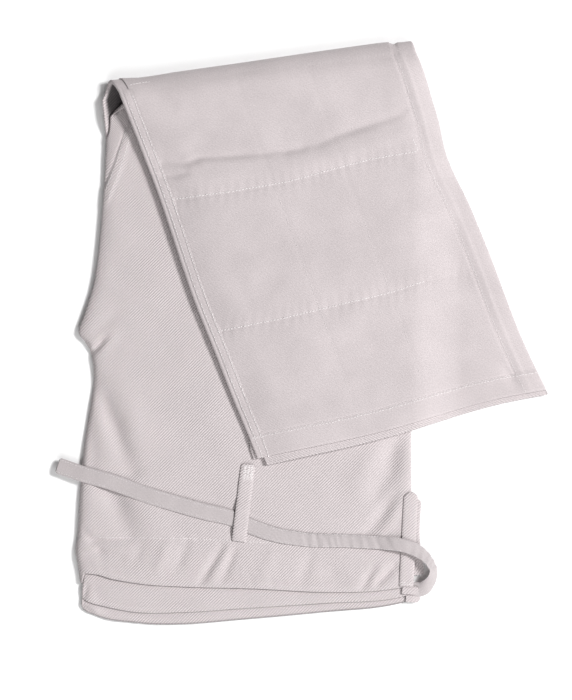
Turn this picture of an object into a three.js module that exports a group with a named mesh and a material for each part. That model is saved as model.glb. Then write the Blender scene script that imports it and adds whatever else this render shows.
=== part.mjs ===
import * as THREE from 'three';

// Judo trousers of bleached cotton drill, pressed flat and folded for the shelf. Units are mm, +Z is up.
// The wearer's right half lies on the left half, so the body is four layers: left front at the bottom,
// left back, right back, right front on top. Both legs are then folded over at the knee, along a line
// that slants, so the left leg's front, with its knee patch, ends up on top of everything.
// x runs from the centre seam (left) to the side seams (right), y from the waist to the knee fold.

// ---- Cloth and layers ----
const CLOTH = 1.4; // one panel of cotton drill
const GAP = 0.3; // between neighbouring pieces
const BODY_STACK = 9.0; // the four layers of the body
const LEG_STACK = 10.6; // the four layers of the folded legs, under the knee patch
const HEM_STACK = 9.2; // the same at the hem
const TURN = 10.5; // outside radius of the turn at the knee fold
const PATCH_CLOTH = 1.1; // knee and shin patch
const LEG_LIFT = BODY_STACK + 1.1; // height of the folded legs' underside over the body
const DRAPE = 46; // how far past the side seams the legs come down to the surface
const TURN_AIR = 2.5; // how much higher the legs' underside lies where they leave the turn
const SETTLE = 0.1; // share of the leg over which that air closes
const HEM_THINS = 0.6; // where along the leg its layers begin to lie closer
const MOST_RELIEF = 0.7; // soft folds of the body stay this low, to clear the legs on top

// ---- Places: edges of the body, one row for each section from the waist to the knee fold ----
const BODY_ROWS = [
  { name: 'waist', left: [-207, -226], right: [90, -227], bow: 1 },
  { name: 'casing', left: [-211, -207], right: [90, -206], bow: 0.85 },
  { name: 'casing seam', left: [-209, -183], right: [90, -184], bow: 0.5 },
  { name: 'hip', left: [-207, -140], right: [90.5, -140], bow: 0 },
  { name: 'seat', left: [-203, -98], right: [90.5, -95], bow: 0 },
  { name: 'front rise', left: [-195, -44], right: [90.5, -40], bow: 0 },
  { name: 'under the fork', left: [-199, -14], right: [90.5, 0], bow: 0 },
  { name: 'fork', left: [-208.5, 0], right: [90.5, 20], bow: 0 },
  { name: 'over the fork', left: [-203, 18], right: [90.5, 42], bow: 0 },
  { name: 'upper thigh', left: [-194, 50], right: [90.5, 80], bow: 0 },
  { name: 'thigh', left: [-188, 104], right: [90.5, 136], bow: 0 },
  { name: 'above the knee', left: [-184.5, 168], right: [90.5, 204], bow: 0 },
  { name: 'knee fold', left: [-187.5, 210], right: [90.5, 250], bow: 0 },
];
const FORK_ROW = 7; // the row where the two legs part

// The front panels' waist edge sags between its ends, and the backs' edges more so.
const FRONT_WAIST = { left: [-207, -226], right: [90, -227], sag: 8, skew: 1.1 };
const BACK_WAISTS = {
  back_right: { left: [-206, -238.5], right: [92, -234.5], sag: 12, skew: 0.75 },
  back_left: { left: [-206, -247], right: [96.5, -239.5], sag: 17.5, skew: 0.62 },
};
const BACK_TOP_ROW = 3; // the back pieces reach up to this row, where the hidden layers begin

// Edges of the folded leg as it lies, from the knee fold to the hem.
const LEG_LEFT = [
  [-172, 216], [-156.5, 158], [-134, 116.5], [-125, 95.5],
  [-99.5, 23.5], [-78.5, -25], [-63, -61], [-47, -113],
];
const LEG_RIGHT = [
  [91, 251], [97, 247], [110, 207.5], [115, 191], [121, 164],
  [144, 113], [156, 84], [195, -16], [212, -51.5],
];
const LEG_FRACTIONS = [
  0.02, 0.06, 0.11, 0.15, 0.19, 0.23, 0.28, 0.35, 0.45, 0.56, 0.67, 0.78, 0.89, 0.95, 1,
]; // where along the leg its sections lie
const TURN_STEPS = 7;
const TURN_HOLLOW = 12; // depth of the hollow at the inner end of the turn
const HEM_WAVE = { depth: 2.4, skew: 1.4 }; // the hem swings out, then in, along its length
const UNDER_HEM = { left: 8, right: 4.5 }; // how far the next layer shows past the hem
const UNDER_EDGE = 3; // how far the lower layers show past the leg's inner edge
const UNDER_FROM = 0.2; // where along the leg they begin to show

// Direction across the knee fold, away from the body.
const ACROSS_FOLD = new THREE.Vector2(-0.139, 0.99);

// Where the middle of the folded garment, without its drawstring, lies in the numbers above.
const MIDDLE = { x: 1.45, y: -1.05 };

// ---- Knee patch, seams and trims ----
// The patch runs from one face step to another, and from a step of the turn to a share of the leg.
const PATCH = { from: 0.35, to: 14.9, firstTurn: 3, end: 0.95 };
// flat and slope are shares of a loop's length: how much of it stands over the tape, and how much leads up.
const LOOP = { width: 13, cloth: 1.7, flat: 0.14, slope: 0.16 };
const LOOPS = [
  { name: 'loop_front', from: [-56, -118.5], to: [-64.5, -188], over: 2.4, crossing: 0.72 },
  { name: 'loop_side', from: [88, -146.5], to: [84.5, -229], over: 0, crossing: 0 },
];
const TAPE = { width: 15, cloth: 1.2 };

// Largest soft folds, as ridges (depth over 0) and troughs (under 0) of the top layer.
const BODY_FOLDS = [
  { name: 'valley from the fork', from: [-187, -6], to: [-196, -17], width: 8, depth: -0.9 },
  { name: 'left valley', from: [-183, -50], to: [-158, -122], width: 11, depth: -1.1 },
  { name: 'left ridge', from: [-168, -44], to: [-140, -116], width: 13, depth: 0.6 },
  { name: 'hollow under the tape', from: [-170, -158], to: [-158, -182], width: 14, depth: -1.1 },
  { name: 'side valley', from: [74, -142], to: [90, -98], width: 10, depth: -1.2 },
  { name: 'side diagonal', from: [56, -174], to: [74, -148], width: 10, depth: -0.8 },
  { name: 'casing pull, left', from: [-80, -194], to: [-98, -222], width: 7, depth: -0.9 },
  { name: 'casing pull, right', from: [56, -214], to: [50, -228], width: 7, depth: -0.9 },
];
const LEG_FOLDS = [
  { name: 'pressed crease', from: [-134, 155], to: [80, 198], width: 11, depth: -1.1 },
  { name: 'ridge under it', from: [-128, 138], to: [88, 180], width: 10, depth: 0.7 },
  { name: 'shin swell', from: [-30, 60], to: [60, 20], width: 42, depth: 0.9 },
];

// ---- Materials ----
const DRILL = new THREE.MeshStandardMaterial({ color: 0xd8cfd1, roughness: 0.92, metalness: 0 });
const TRIM = new THREE.MeshStandardMaterial({ color: 0xd2cacc, roughness: 0.9, metalness: 0 });

const lerp = THREE.MathUtils.lerp;
const smooth = (t) => THREE.MathUtils.smoothstep(t, 0, 1);
const mixPoint = (a, b, t) => [lerp(a[0], b[0], t), lerp(a[1], b[1], t)];

// Height of the soft folds at a point: each is a bell across its line that fades at both ends.
function reliefAt(folds, x, y) {
  let total = 0;
  for (const fold of folds) {
    const dx = fold.to[0] - fold.from[0];
    const dy = fold.to[1] - fold.from[1];
    const along = ((x - fold.from[0]) * dx + (y - fold.from[1]) * dy) / (dx * dx + dy * dy);
    const near = THREE.MathUtils.clamp(along, 0, 1);
    const away = Math.hypot(x - fold.from[0] - near * dx, y - fold.from[1] - near * dy);
    total += fold.depth * Math.exp(-((away / fold.width) ** 2));
  }
  return total;
}

const bodyRelief = (x, y) => Math.min(reliefAt(BODY_FOLDS, x, y), MOST_RELIEF);

// Point at a fraction of the length of an edge.
function edgeCurve(points) {
  const corners = points.map(([x, y]) => new THREE.Vector3(x, y, 0));
  const curve = new THREE.CatmullRomCurve3(corners, false, 'centripetal');
  return (fraction) => {
    const point = curve.getPointAt(fraction);
    return [point.x, point.y];
  };
}

const legLeft = edgeCurve(LEG_LEFT);
const legRight = edgeCurve(LEG_RIGHT);
const SIDE_SEAM_X = BODY_ROWS[BODY_ROWS.length - 1].right[0];

// Underside of the folded legs: over the body, then down to the surface past the side seams.
function legUnderside(x) {
  const past = (x - SIDE_SEAM_X) / DRAPE;
  return LEG_LIFT * (1 - smooth(past));
}

const widthOf = ({ left, right }) => Math.hypot(right[0] - left[0], right[1] - left[1]);
const radians = THREE.MathUtils.degToRad;

// ---- Sections: each runs straight across from its left edge to its right edge ----
function bowAt(waist, across) {
  return -waist.sag * Math.sin(Math.PI * across ** waist.skew);
}

function bodySection(row, index) {
  return {
    kind: 'body',
    left: row.left,
    right: row.right,
    stack: BODY_STACK,
    bow: (across) => row.bow * bowAt(FRONT_WAIST, across),
    legsApart: index >= FORK_ROW,
    leftLips: index > FORK_ROW,
    open: 0,
  };
}

function turnSection(step) {
  const fraction = step / TURN_STEPS;
  const start = BODY_ROWS[BODY_ROWS.length - 1];
  return {
    kind: 'turn',
    left: mixPoint(start.left, LEG_LEFT[0], fraction),
    right: mixPoint(start.right, LEG_RIGHT[0], fraction),
    angle: Math.PI * fraction,
    stack: BODY_STACK,
    bow: () => 0,
    legsApart: true,
    leftLips: false,
    open: TURN_HOLLOW,
  };
}

function legSection(fraction) {
  const hem = smooth((fraction - HEM_THINS) / (1 - HEM_THINS));
  const settled = smooth(fraction / SETTLE);
  const first = 2 * TURN - LEG_LIFT - TURN_AIR;
  return {
    kind: 'leg',
    fraction,
    left: legLeft(fraction),
    right: legRight(fraction),
    stack: lerp(lerp(first, LEG_STACK, settled), HEM_STACK, hem),
    lift: TURN_AIR * (1 - settled),
    bow: (across) => -hem * HEM_WAVE.depth * Math.sin(2 * Math.PI * across ** HEM_WAVE.skew),
    legsApart: true,
    leftLips: fraction > SETTLE,
    open: TURN_HOLLOW * (1 - settled),
  };
}

// Place of a point of a section: s along it from its left edge, h into the stack from its outer face.
function place(section, s, h) {
  const { left, right } = section;
  const across = s / widthOf(section);
  const x = lerp(left[0], right[0], across);
  const y = lerp(left[1], right[1], across) + section.bow(THREE.MathUtils.clamp(across, 0, 1));
  const depth = h / section.stack;
  if (section.kind === 'body') {
    return new THREE.Vector3(x, y, h + bodyRelief(x, y) * depth);
  }
  if (section.kind === 'turn') {
    const radius = TURN - h;
    const out = radius * Math.sin(section.angle);
    const z = TURN - radius * Math.cos(section.angle);
    return new THREE.Vector3(x + ACROSS_FOLD.x * out, y + ACROSS_FOLD.y * out, z);
  }
  const top = legUnderside(x) + section.lift + section.stack;
  const relief = reliefAt(LEG_FOLDS, x, y);
  return new THREE.Vector3(x, y, top - h + relief * (1 - depth));
}

// ---- Lofting ----
// A ring is the outline of a piece in one section, as [s, h] pairs, put in its place.
function ringOf(section, outline) {
  return { points: outline.map(([s, h]) => place(section, s, h)), along: outline.map(([s]) => s) };
}

// Skins rings, all with the same count of points, into one closed body. Every quad is split the same way
// over the section, whichever way round the ring passes it, so pieces that lie on each other stay parallel.
function loft(rings) {
  const { along } = rings[0];
  const count = along.length;
  const positions = rings.flatMap(({ points }) => points).flatMap((point) => [point.x, point.y, point.z]);
  const index = [];
  for (let ring = 0; ring + 1 < rings.length; ring += 1) {
    for (let i = 0; i < count; i += 1) {
      const next = (i + 1) % count;
      const a = ring * count + i;
      const b = ring * count + next;
      if (along[next] > along[i]) index.push(a, b, a + count, b, b + count, a + count);
      else index.push(a, b, b + count, a, b + count, a + count);
    }
  }
  const contour = (ring) => flatten(rings[ring].points);
  const last = (rings.length - 1) * count;
  for (const [i, j, k] of THREE.ShapeUtils.triangulateShape(contour(0), [])) index.push(i, k, j);
  for (const [i, j, k] of THREE.ShapeUtils.triangulateShape(contour(rings.length - 1), [])) {
    index.push(last + i, last + j, last + k);
  }
  const geometry = new THREE.BufferGeometry();
  geometry.setAttribute('position', new THREE.Float32BufferAttribute(positions, 3));
  geometry.setIndex(orient(positions, index));
  geometry.computeVertexNormals();
  return geometry;
}

// The ring of an end cap in its own plane: along the section, and in the direction of its thickness.
function flatten(ring) {
  const normal = new THREE.Vector3();
  for (let i = 0; i < ring.length; i += 1) {
    normal.add(new THREE.Vector3().crossVectors(ring[i], ring[(i + 1) % ring.length]));
  }
  normal.normalize();
  const side = new THREE.Vector3(0, 0, 1).cross(normal).normalize();
  const up = new THREE.Vector3().crossVectors(normal, side);
  return ring.map((point) => new THREE.Vector2(point.dot(side), point.dot(up)));
}

// Turns every face round when the body is inside out.
function orient(positions, index) {
  let volume = 0;
  const corner = (i) => new THREE.Vector3().fromArray(positions, 3 * i);
  for (let i = 0; i < index.length; i += 3) {
    volume += corner(index[i]).dot(corner(index[i + 1]).cross(corner(index[i + 2])));
  }
  if (volume > 0) return index;
  const turned = [];
  for (let i = 0; i < index.length; i += 3) turned.push(index[i], index[i + 2], index[i + 1]);
  return turned;
}

// ---- Panels ----
const FACE_STEPS = 16;
const CAP_STEPS = 4;

// Where the points of every layer lie across a section, between its rounded edges.
function faceNodes(section) {
  const radius = section.stack / 2;
  const width = widthOf(section);
  return Array.from({ length: FACE_STEPS + 1 }, (_, i) => lerp(radius, width - radius, i / FACE_STEPS));
}

const SEAM_ANGLE = 33; // where a panel ends on the rounded edge of its leg, from mid height
const CENTRE_ANGLE = 2.2; // the same at the centre seam, where the two fronts meet

// A panel's line across one section, from its left seam round to its right seam.
// `under` is the panel on the outer face of the stack, the other is on the inner face.
function panelLine(section, under, inset) {
  const width = widthOf(section);
  const radius = section.stack / 2;
  const leftSeam = radians(section.legsApart ? SEAM_ANGLE : CENTRE_ANGLE);
  const rightSeam = radians(SEAM_ANGLE);
  const reach = radius - inset;
  const line = [];
  for (let i = 0; i < CAP_STEPS; i += 1) {
    const angle = lerp(leftSeam, Math.PI / 2, i / CAP_STEPS);
    line.push([radius - reach * Math.cos(angle), radius - reach * Math.sin(angle)]);
  }
  for (const s of faceNodes(section)) line.push([s, inset]);
  for (let i = 1; i <= CAP_STEPS; i += 1) {
    const angle = lerp(Math.PI / 2, rightSeam, i / CAP_STEPS);
    line.push([width - radius + reach * Math.cos(angle), radius - reach * Math.sin(angle)]);
  }
  return under ? line : line.map(([s, h]) => [s, section.stack - h]);
}

function panelRing(section, under) {
  const outer = panelLine(section, under, 0);
  const inner = panelLine(section, under, CLOTH).reverse();
  return ringOf(section, [...outer, ...inner]);
}

// ---- Hidden layers: one rounded solid with two lips at each side ----
const LIP_ANGLE = 25; // half the angle over which the lips come out between the panels
const LIP_GROOVE = 1.2; // depth of the groove between the two lips
const CAP_ANGLES = [62, LIP_ANGLE + 2, LIP_ANGLE, LIP_ANGLE / 2]; // from the face to mid height

// One end of the hidden layers: [out, height] pairs from the outer face's side to the inner face's side.
function coreCap(section, lips, farther) {
  const radius = section.stack / 2;
  const point = (angle) => {
    const inset = angle > 0 ? innerInset(section) : CLOTH + GAP;
    let far = radius - inset;
    if (lips && Math.abs(angle) <= LIP_ANGLE) far = radius + (angle > 0 ? farther : 0);
    if (lips && angle === 0) far = radius - LIP_GROOVE + farther / 2;
    return [far * Math.cos(radians(angle)), radius + far * Math.sin(radians(angle))];
  };
  const angles = [...CAP_ANGLES.map((angle) => -angle), 0, ...[...CAP_ANGLES].reverse()];
  return angles.map(point);
}

// How far the hidden layers lie inside the inner face: the front that covers them ends at the knee fold.
function innerInset(section) {
  return (CLOTH + GAP) * (section.kind === 'leg' ? 1 - smooth(section.fraction / SETTLE) : 1);
}

function coreRing(section) {
  const width = widthOf(section);
  const radius = section.stack / 2;
  const nodes = faceNodes(section);
  nodes[0] += section.open;
  const showing = section.kind === 'leg' ? smooth((section.fraction - UNDER_FROM) / UNDER_FROM) : 0;
  const farther = UNDER_EDGE * showing;
  const rightCap = coreCap(section, true, 0).map(([out, h]) => [width - radius + out, h]);
  const leftCap = coreCap(section, section.leftLips, farther).map(([out, h]) => [nodes[0] - out, h]);
  const outline = [
    ...nodes.map((s) => [s, CLOTH + GAP]),
    ...rightCap,
    ...nodes.map((s) => [s, section.stack - innerInset(section)]).reverse(),
    ...leftCap.reverse(),
  ];
  const squash = section.squash ?? 1;
  const sink = section.sink ?? 0;
  return ringOf(section, outline.map(([s, h]) => [s, CLOTH + GAP + (h - CLOTH - GAP) * squash + sink]));
}

// ---- The whole run of sections ----
const bodySections = BODY_ROWS.map(bodySection);
const turnSections = [];
for (let step = 1; step < TURN_STEPS; step += 1) turnSections.push(turnSection(step));
const legSections = LEG_FRACTIONS.map(legSection);

// The next layer down shows past the hem, as a step in the end of the hidden layers.
function pastHem({ share, squash, sink }) {
  const hem = legSections[legSections.length - 1];
  const before = legSections[legSections.length - 2];
  const beyond = (a, b, far) => {
    const length = Math.hypot(b[0] - a[0], b[1] - a[1]);
    return [b[0] + ((b[0] - a[0]) * far) / length, b[1] + ((b[1] - a[1]) * far) / length];
  };
  return {
    ...hem,
    left: beyond(before.left, hem.left, UNDER_HEM.left * share),
    right: beyond(before.right, hem.right, UNDER_HEM.right * share),
    squash,
    sink,
  };
}

// Each row is a share of the way past the hem, how thick it still is, and how far it sinks.
const HEM_STEPS = [
  { share: 0.04, squash: 1, sink: 0 },
  { share: 0.1, squash: 0.42, sink: 0.2 },
  { share: 1, squash: 0.38, sink: 0.4 },
];
const hemSteps = HEM_STEPS.map(pastHem);

const wholeRun = [...bodySections, ...turnSections, ...legSections];
const frontLeft = loft(wholeRun.map((section) => panelRing(section, true)));
const frontRight = loft(bodySections.map((section) => panelRing(section, false)));
const hiddenLayers = loft([
  ...bodySections.slice(BACK_TOP_ROW),
  ...turnSections,
  ...legSections.slice(0, -1),
  ...hemSteps,
].map(coreRing));

// ---- Backs: what shows of them past the fronts' waist edge, and the run under the casing ----
function backRing(section, lower) {
  const width = widthOf(section);
  const radius = section.stack / 2;
  const nodes = faceNodes(section);
  const middle = radius - GAP / 2;
  const cap = (lips) => coreCap(section, lips, 0).slice(0, CAP_ANGLES.length);
  const rightCap = cap(true).map(([out, h]) => [width - radius + out, h]);
  const leftCap = cap(false).map(([out, h]) => [radius - out, h]);
  const outline = [
    ...nodes.map((s) => [s, CLOTH + GAP]),
    ...rightCap,
    ...nodes.map((s) => [s, middle]).reverse(),
    ...leftCap.reverse(),
  ];
  return ringOf(section, outline.map(([s, h]) => [s, lower ? h : section.stack - h]));
}

// From its own waist edge up to the row where the hidden layers begin.
function back(name) {
  const waist = BACK_WAISTS[name];
  const edge = {
    kind: 'body',
    left: waist.left,
    right: waist.right,
    stack: BODY_STACK,
    bow: (across) => bowAt(waist, across),
  };
  const rows = bodySections.slice(0, BACK_TOP_ROW);
  const top = bodySections[BACK_TOP_ROW];
  const end = {
    ...top,
    left: [top.left[0], top.left[1] - GAP],
    right: [top.right[0], top.right[1] - GAP],
  };
  return loft([edge, ...rows, end].map((section) => backRing(section, name === 'back_left')));
}

// ---- Knee patch: made from the leg panel's points, moved out ----
// A point over the leg panel, at a number of face steps from its left end, on the panel's own flat facets.
function overPanel(section, step, out) {
  const nodes = faceNodes(section);
  const at = Math.floor(step);
  const [from, to] = [nodes[at], nodes[at + 1] ?? nodes[at]];
  return place(section, from, -out).lerp(place(section, to, -out), step - at);
}

function patchRing(section) {
  const steps = [PATCH.from];
  for (let i = Math.ceil(PATCH.from); i <= PATCH.to; i += 1) steps.push(i);
  steps.push(PATCH.to);
  const under = steps.map((step) => overPanel(section, step, GAP));
  const over = steps.map((step) => overPanel(section, step, GAP + PATCH_CLOTH)).reverse();
  return { points: [...under, ...over], along: [...steps, ...[...steps].reverse()] };
}

const patchSections = [
  ...turnSections.slice(PATCH.firstTurn),
  ...legSections.filter(({ fraction }) => fraction <= PATCH.end),
];
const kneePatch = loft(patchSections.map(patchRing));

// ---- Straps that lie on the body ----
function bodyTop(x, y) {
  return BODY_STACK + bodyRelief(x, y);
}

// A flat strap along a line of stations, each with its centre, its direction across and its upward side.
const STRAP_OUTLINE = [[-1, 0], [-0.86, -0.5], [0.86, -0.5], [1, 0], [0.86, 0.5], [-0.86, 0.5]];

function strap(stations, width, cloth) {
  return loft(stations.map(({ centre, side, up }) => ({
    points: STRAP_OUTLINE.map(([across, out]) => centre.clone()
      .addScaledVector(side, (across * width) / 2)
      .addScaledVector(up, out * cloth)),
    along: STRAP_OUTLINE.map(([across]) => across),
  })));
}

const LOOP_STATIONS = 11;

function loop(spec) {
  const stations = [];
  const run = new THREE.Vector3(spec.to[0] - spec.from[0], spec.to[1] - spec.from[1], 0).normalize();
  const side = new THREE.Vector3(-run.y, run.x, 0);
  for (let i = 0; i < LOOP_STATIONS; i += 1) {
    const t = i / (LOOP_STATIONS - 1);
    const [x, y] = mixPoint(spec.from, spec.to, t);
    const arch = spec.over * (1 - smooth((Math.abs(t - spec.crossing) - LOOP.flat) / LOOP.slope));
    const rest = Math.max(bodyTop(x, y), bodyTop(x - LOOP.width / 2, y), bodyTop(x + LOOP.width / 2, y));
    const centre = new THREE.Vector3(x, y, rest + GAP + LOOP.cloth / 2 + arch);
    stations.push({ centre, side, up: new THREE.Vector3(0, 0, 1) });
  }
  return strap(stations, LOOP.width, LOOP.cloth);
}

// ---- Drawstring: a flat tape from its free end, over the body and round the side into the casing ----
// x, y, z are its middle, and tilt is how far it is turned about its own line, in degrees.
const TAPE_ROUTE = [
  { x: -228, y: -119.5, z: 8.6, tilt: 0 },
  { x: -206, y: -127, z: 10.2, tilt: 0 },
  { x: -180, y: -134.3, z: 10.3, tilt: 0 },
  { x: -146, y: -146.5, z: 10.2, tilt: 0 },
  { x: -117.5, y: -155, z: 10.2, tilt: 0 },
  { x: -94, y: -161.5, z: 10.2, tilt: 0 },
  { x: -70, y: -167.2, z: 10.2, tilt: 0 },
  { x: -55, y: -174, z: 10.2, tilt: 0 },
  { x: -31, y: -182, z: 10.6, tilt: 0 },
  { x: -2.5, y: -186.5, z: 10.8, tilt: 4 },
  { x: 34.5, y: -187.5, z: 12, tilt: 10 },
  { x: 68, y: -189.5, z: 13.6, tilt: 14 },
  { x: 82, y: -191, z: 14.8, tilt: 18 },
  { x: 97, y: -197, z: 14.2, tilt: 36 },
  { x: 107.5, y: -206, z: 12.8, tilt: 62 },
  { x: 110, y: -215, z: 11, tilt: 74 },
  { x: 106.5, y: -224, z: 9.6, tilt: 66 },
  { x: 100.5, y: -228.5, z: 9, tilt: 60 },
];
const TAPE_STATIONS = 46;

function drawstring() {
  const curve = new THREE.CatmullRomCurve3(TAPE_ROUTE.map(({ x, y, z }) => new THREE.Vector3(x, y, z)));
  const stations = [];
  for (let i = 0; i < TAPE_STATIONS; i += 1) {
    const t = i / (TAPE_STATIONS - 1);
    const u = curve.getUtoTmapping(t) * (TAPE_ROUTE.length - 1);
    const at = Math.min(Math.floor(u), TAPE_ROUTE.length - 2);
    const tilt = radians(lerp(TAPE_ROUTE[at].tilt, TAPE_ROUTE[at + 1].tilt, u - at));
    const ahead = curve.getTangentAt(t);
    const level = new THREE.Vector3(-ahead.y, ahead.x, 0).normalize();
    const side = level.applyAxisAngle(ahead, -tilt);
    const up = new THREE.Vector3().crossVectors(ahead, side);
    stations.push({ centre: curve.getPointAt(t), side, up });
  }
  return strap(stations, TAPE.width, TAPE.cloth);
}

// ---- Assembly ----
const trousers = new THREE.Group();
trousers.position.set(-MIDDLE.x, -MIDDLE.y, 0);

function add(name, geometry, material) {
  const mesh = new THREE.Mesh(geometry, material);
  mesh.name = name;
  trousers.add(mesh);
}

add('front_left', frontLeft, DRILL);
add('front_right', frontRight, DRILL);
add('hidden_layers', hiddenLayers, DRILL);
for (const name of Object.keys(BACK_WAISTS)) add(name, back(name), DRILL);
add('knee_patch', kneePatch, DRILL);
for (const spec of LOOPS) add(spec.name, loop(spec), TRIM);
add('drawstring', drawstring(), TRIM);

export default trousers;
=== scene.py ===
"""Judo trousers of bleached cotton drill, pressed flat and folded for the shelf.

The wearer's right half lies on the left half, so the body is four layers of cloth: left front at the bottom,
left back, right back, and right front on top. Both legs are folded over at the knee, so on them the order is
turned round and the left front lies on top. Every layer is a fine sheet that follows the same sections as its
solid. Sizes in the tables are mm, as in the solids, and meshes are metres.
"""

import math

import bpy
import numpy as np
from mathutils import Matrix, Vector
from mathutils.bvhtree import BVHTree


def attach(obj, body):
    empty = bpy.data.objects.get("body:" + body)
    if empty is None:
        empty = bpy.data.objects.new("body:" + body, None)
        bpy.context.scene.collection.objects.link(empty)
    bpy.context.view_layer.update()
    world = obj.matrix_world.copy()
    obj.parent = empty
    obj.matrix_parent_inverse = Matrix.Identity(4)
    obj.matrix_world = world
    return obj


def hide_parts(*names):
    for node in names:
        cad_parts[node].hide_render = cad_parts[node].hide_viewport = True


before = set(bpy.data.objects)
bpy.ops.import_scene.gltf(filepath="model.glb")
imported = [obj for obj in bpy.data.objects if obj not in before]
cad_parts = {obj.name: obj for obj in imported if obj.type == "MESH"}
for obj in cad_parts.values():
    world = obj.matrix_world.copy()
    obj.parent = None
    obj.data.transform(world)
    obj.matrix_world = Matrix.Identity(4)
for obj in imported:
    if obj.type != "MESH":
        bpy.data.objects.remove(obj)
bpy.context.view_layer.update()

MM = 0.001

# ---- Sizes that the solids share ----
MIDDLE = np.array([1.45, -1.05])
CLOTH = 1.15

# Heights of the four layers together: in the body, in the folded leg, and at the hem, where they thin.
BODY_STACK = 9.0
LEG_STACK = 10.6
HEM_STACK = 9.2
HEM_THINS = 0.6
HEM_WAVE = 2.4

# The knee fold's half round, the height of the leg's underside, and where the leg comes down past the body.
TURN = 10.5
LEG_LIFT = BODY_STACK + 1.1
DRAPE = 46.0
TURN_AIR = 2.5
SETTLE = 0.1
ACROSS_FOLD = np.array([-0.139, 0.99])
FOLD_LINE = 234.4

# The body's edges, from waist to knee fold: left x, left y, right x, right y, share of the waist's sag.
BODY_ROWS = np.array(
    [
        (-207, -226, 90, -227, 1),
        (-211, -207, 90, -206, 0.85),
        (-209, -183, 90, -184, 0.5),
        (-207, -140, 90.5, -140, 0),
        (-203, -98, 90.5, -95, 0),
        (-195, -44, 90.5, -40, 0),
        (-199, -14, 90.5, 0, 0),
        (-208.5, 0, 90.5, 20, 0),
        (-203, 18, 90.5, 42, 0),
        (-194, 50, 90.5, 80, 0),
        (-188, 104, 90.5, 136, 0),
        (-184.5, 168, 90.5, 204, 0),
        (-187.5, 210, 90.5, 250, 0),
    ],
    float,
)
ROW_STEP = 19.0
FORK_ROW = 7
LAST_ROW = len(BODY_ROWS) - 1
SIDE_SEAM_X = 90.5
LEG_LENGTH = 362.0

LEG_LEFT = [
    (-172, 216), (-156.5, 176), (-134, 116.5), (-126.5, 94), (-104.5, 29), (-86.5, -16), (-68.8, -61),
    (-54.2, -96), (-47.5, -113),
]
LEG_RIGHT = [
    (94.5, 251.5), (99, 241), (110, 207.5), (115, 191), (121, 164), (144, 113), (156, 84), (195, -16),
    (212, -51.5),
]

# The waist edges that show, from the centre seam to the side seam. The backs rise higher than the fronts.
FRONT_WAIST = [
    (-212, -216), (-203, -216.2), (-200, -216.6), (-192, -217.4), (-179, -221.3), (-170, -223),
    (-147, -226.4), (-117, -228.2), (-52, -230), (17, -233.2), (56, -232.4), (80, -229.3), (92, -227),
]
BACK_WAISTS = {
    "back_right": [
        (-208, -237), (-205.5, -239), (-197, -243.2), (-186, -246), (-160, -251), (-115, -251.4), (-63, -248),
        (11, -243.2), (80, -237.8), (93, -234.5),
    ],
    "back_left": [
        (-208, -244), (-205, -248), (-194, -254), (-188, -256.3), (-160, -260.6), (-145, -262),
        (-117, -262.2), (-63, -258), (11, -251.3), (80, -243.5), (97, -239),
    ],
}
BACK_ROWS = {
    "back_right": np.vstack([[(-206, -238.5, 92, -234.5, 1), (-209, -224, 90.5, -222, 0.9)], BODY_ROWS[2:]]),
    "back_left": np.vstack([[(-206, -247, 96.5, -239.5, 1), (-209, -230, 91.5, -226, 0.9)], BODY_ROWS[2:]]),
}

# The front's waist dips at the centre seam.
FRONT_NUB = [(-212, -1), (-209.5, -5.5), (-207, -9), (-205.6, -10), (-204.6, -3), (-203, 0), (-201, 0)]
NUB_REACH = 5.0

# ---- What the cloth adds to the solids' knee fold: a curled lip at its open end, and a higher roll ----
LIP_WIDTH = 3.2
ROLL_LENGTH = 23.5
ROLL_HEIGHT = 14.0
ROLL_SETTLES = 26.0
OUTER_SHARE = 1.3
LIP_REACH = 70.0
LIP_TURN = 1.7
INNER_REACH = 60.0
INNER_RECEDE = 17
INNER_RECEDE_WIDTH = 19.0

# How far the fold stands out past a plain half round, along it from its open left end.
FOLD_REACH = [
    (0, 4.5), (13, 3.6), (26, 2.1), (40, 2.0), (58, 2.6), (122, 2.8), (185, 3.4), (245, 3.6), (268, 2.3),
]


# ---- Curves and soft shapes ----
def smooth(t):
    t = np.clip(t, 0, 1)
    return t * t * (3 - 2 * t)


def until(distance, end, edge):
    """1 up to a distance, then down to 0 over an edge."""
    return 1 - smooth((distance - end) / edge)


def bell(distance, width):
    """1 on a line, and nearly 0 at twice the width from it."""
    return np.exp(-((distance / width) ** 2))


def lerp(a, b, t):
    return a + (b - a) * t


def unit(v):
    return v / np.linalg.norm(v, axis=-1, keepdims=True)


def run_along(points):
    """How far along a line each of its points lies."""
    return np.concatenate([[0], np.cumsum(np.linalg.norm(np.diff(points, axis=0), axis=1))])


def hermite(keys, values, at):
    """A smooth curve through a table, at any keys."""
    keys, values, at = np.asarray(keys, float), np.asarray(values, float), np.asarray(at, float)
    slopes = np.gradient(values, keys, axis=0)
    i = np.clip(np.searchsorted(keys, at, "right") - 1, 0, len(keys) - 2)
    span = keys[i + 1] - keys[i]
    t = (at - keys[i]) / span
    shape = t.shape + (1,) * (values.ndim - 1)
    t, span = t.reshape(shape), span.reshape(shape)
    a, b, c, d = 2 * t**3 - 3 * t**2 + 1, t**3 - 2 * t**2 + t, 3 * t**2 - 2 * t**3, t**3 - t**2
    return a * values[i] + b * span * slopes[i] + c * values[i + 1] + d * span * slopes[i + 1]


def edge_y(edge, x):
    """The height of a waist edge on the page, at any x."""
    edge = np.asarray(edge, float)
    return hermite(edge[:, 0], edge[:, 1], np.clip(x, edge[0, 0], edge[-1, 0]))


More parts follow.
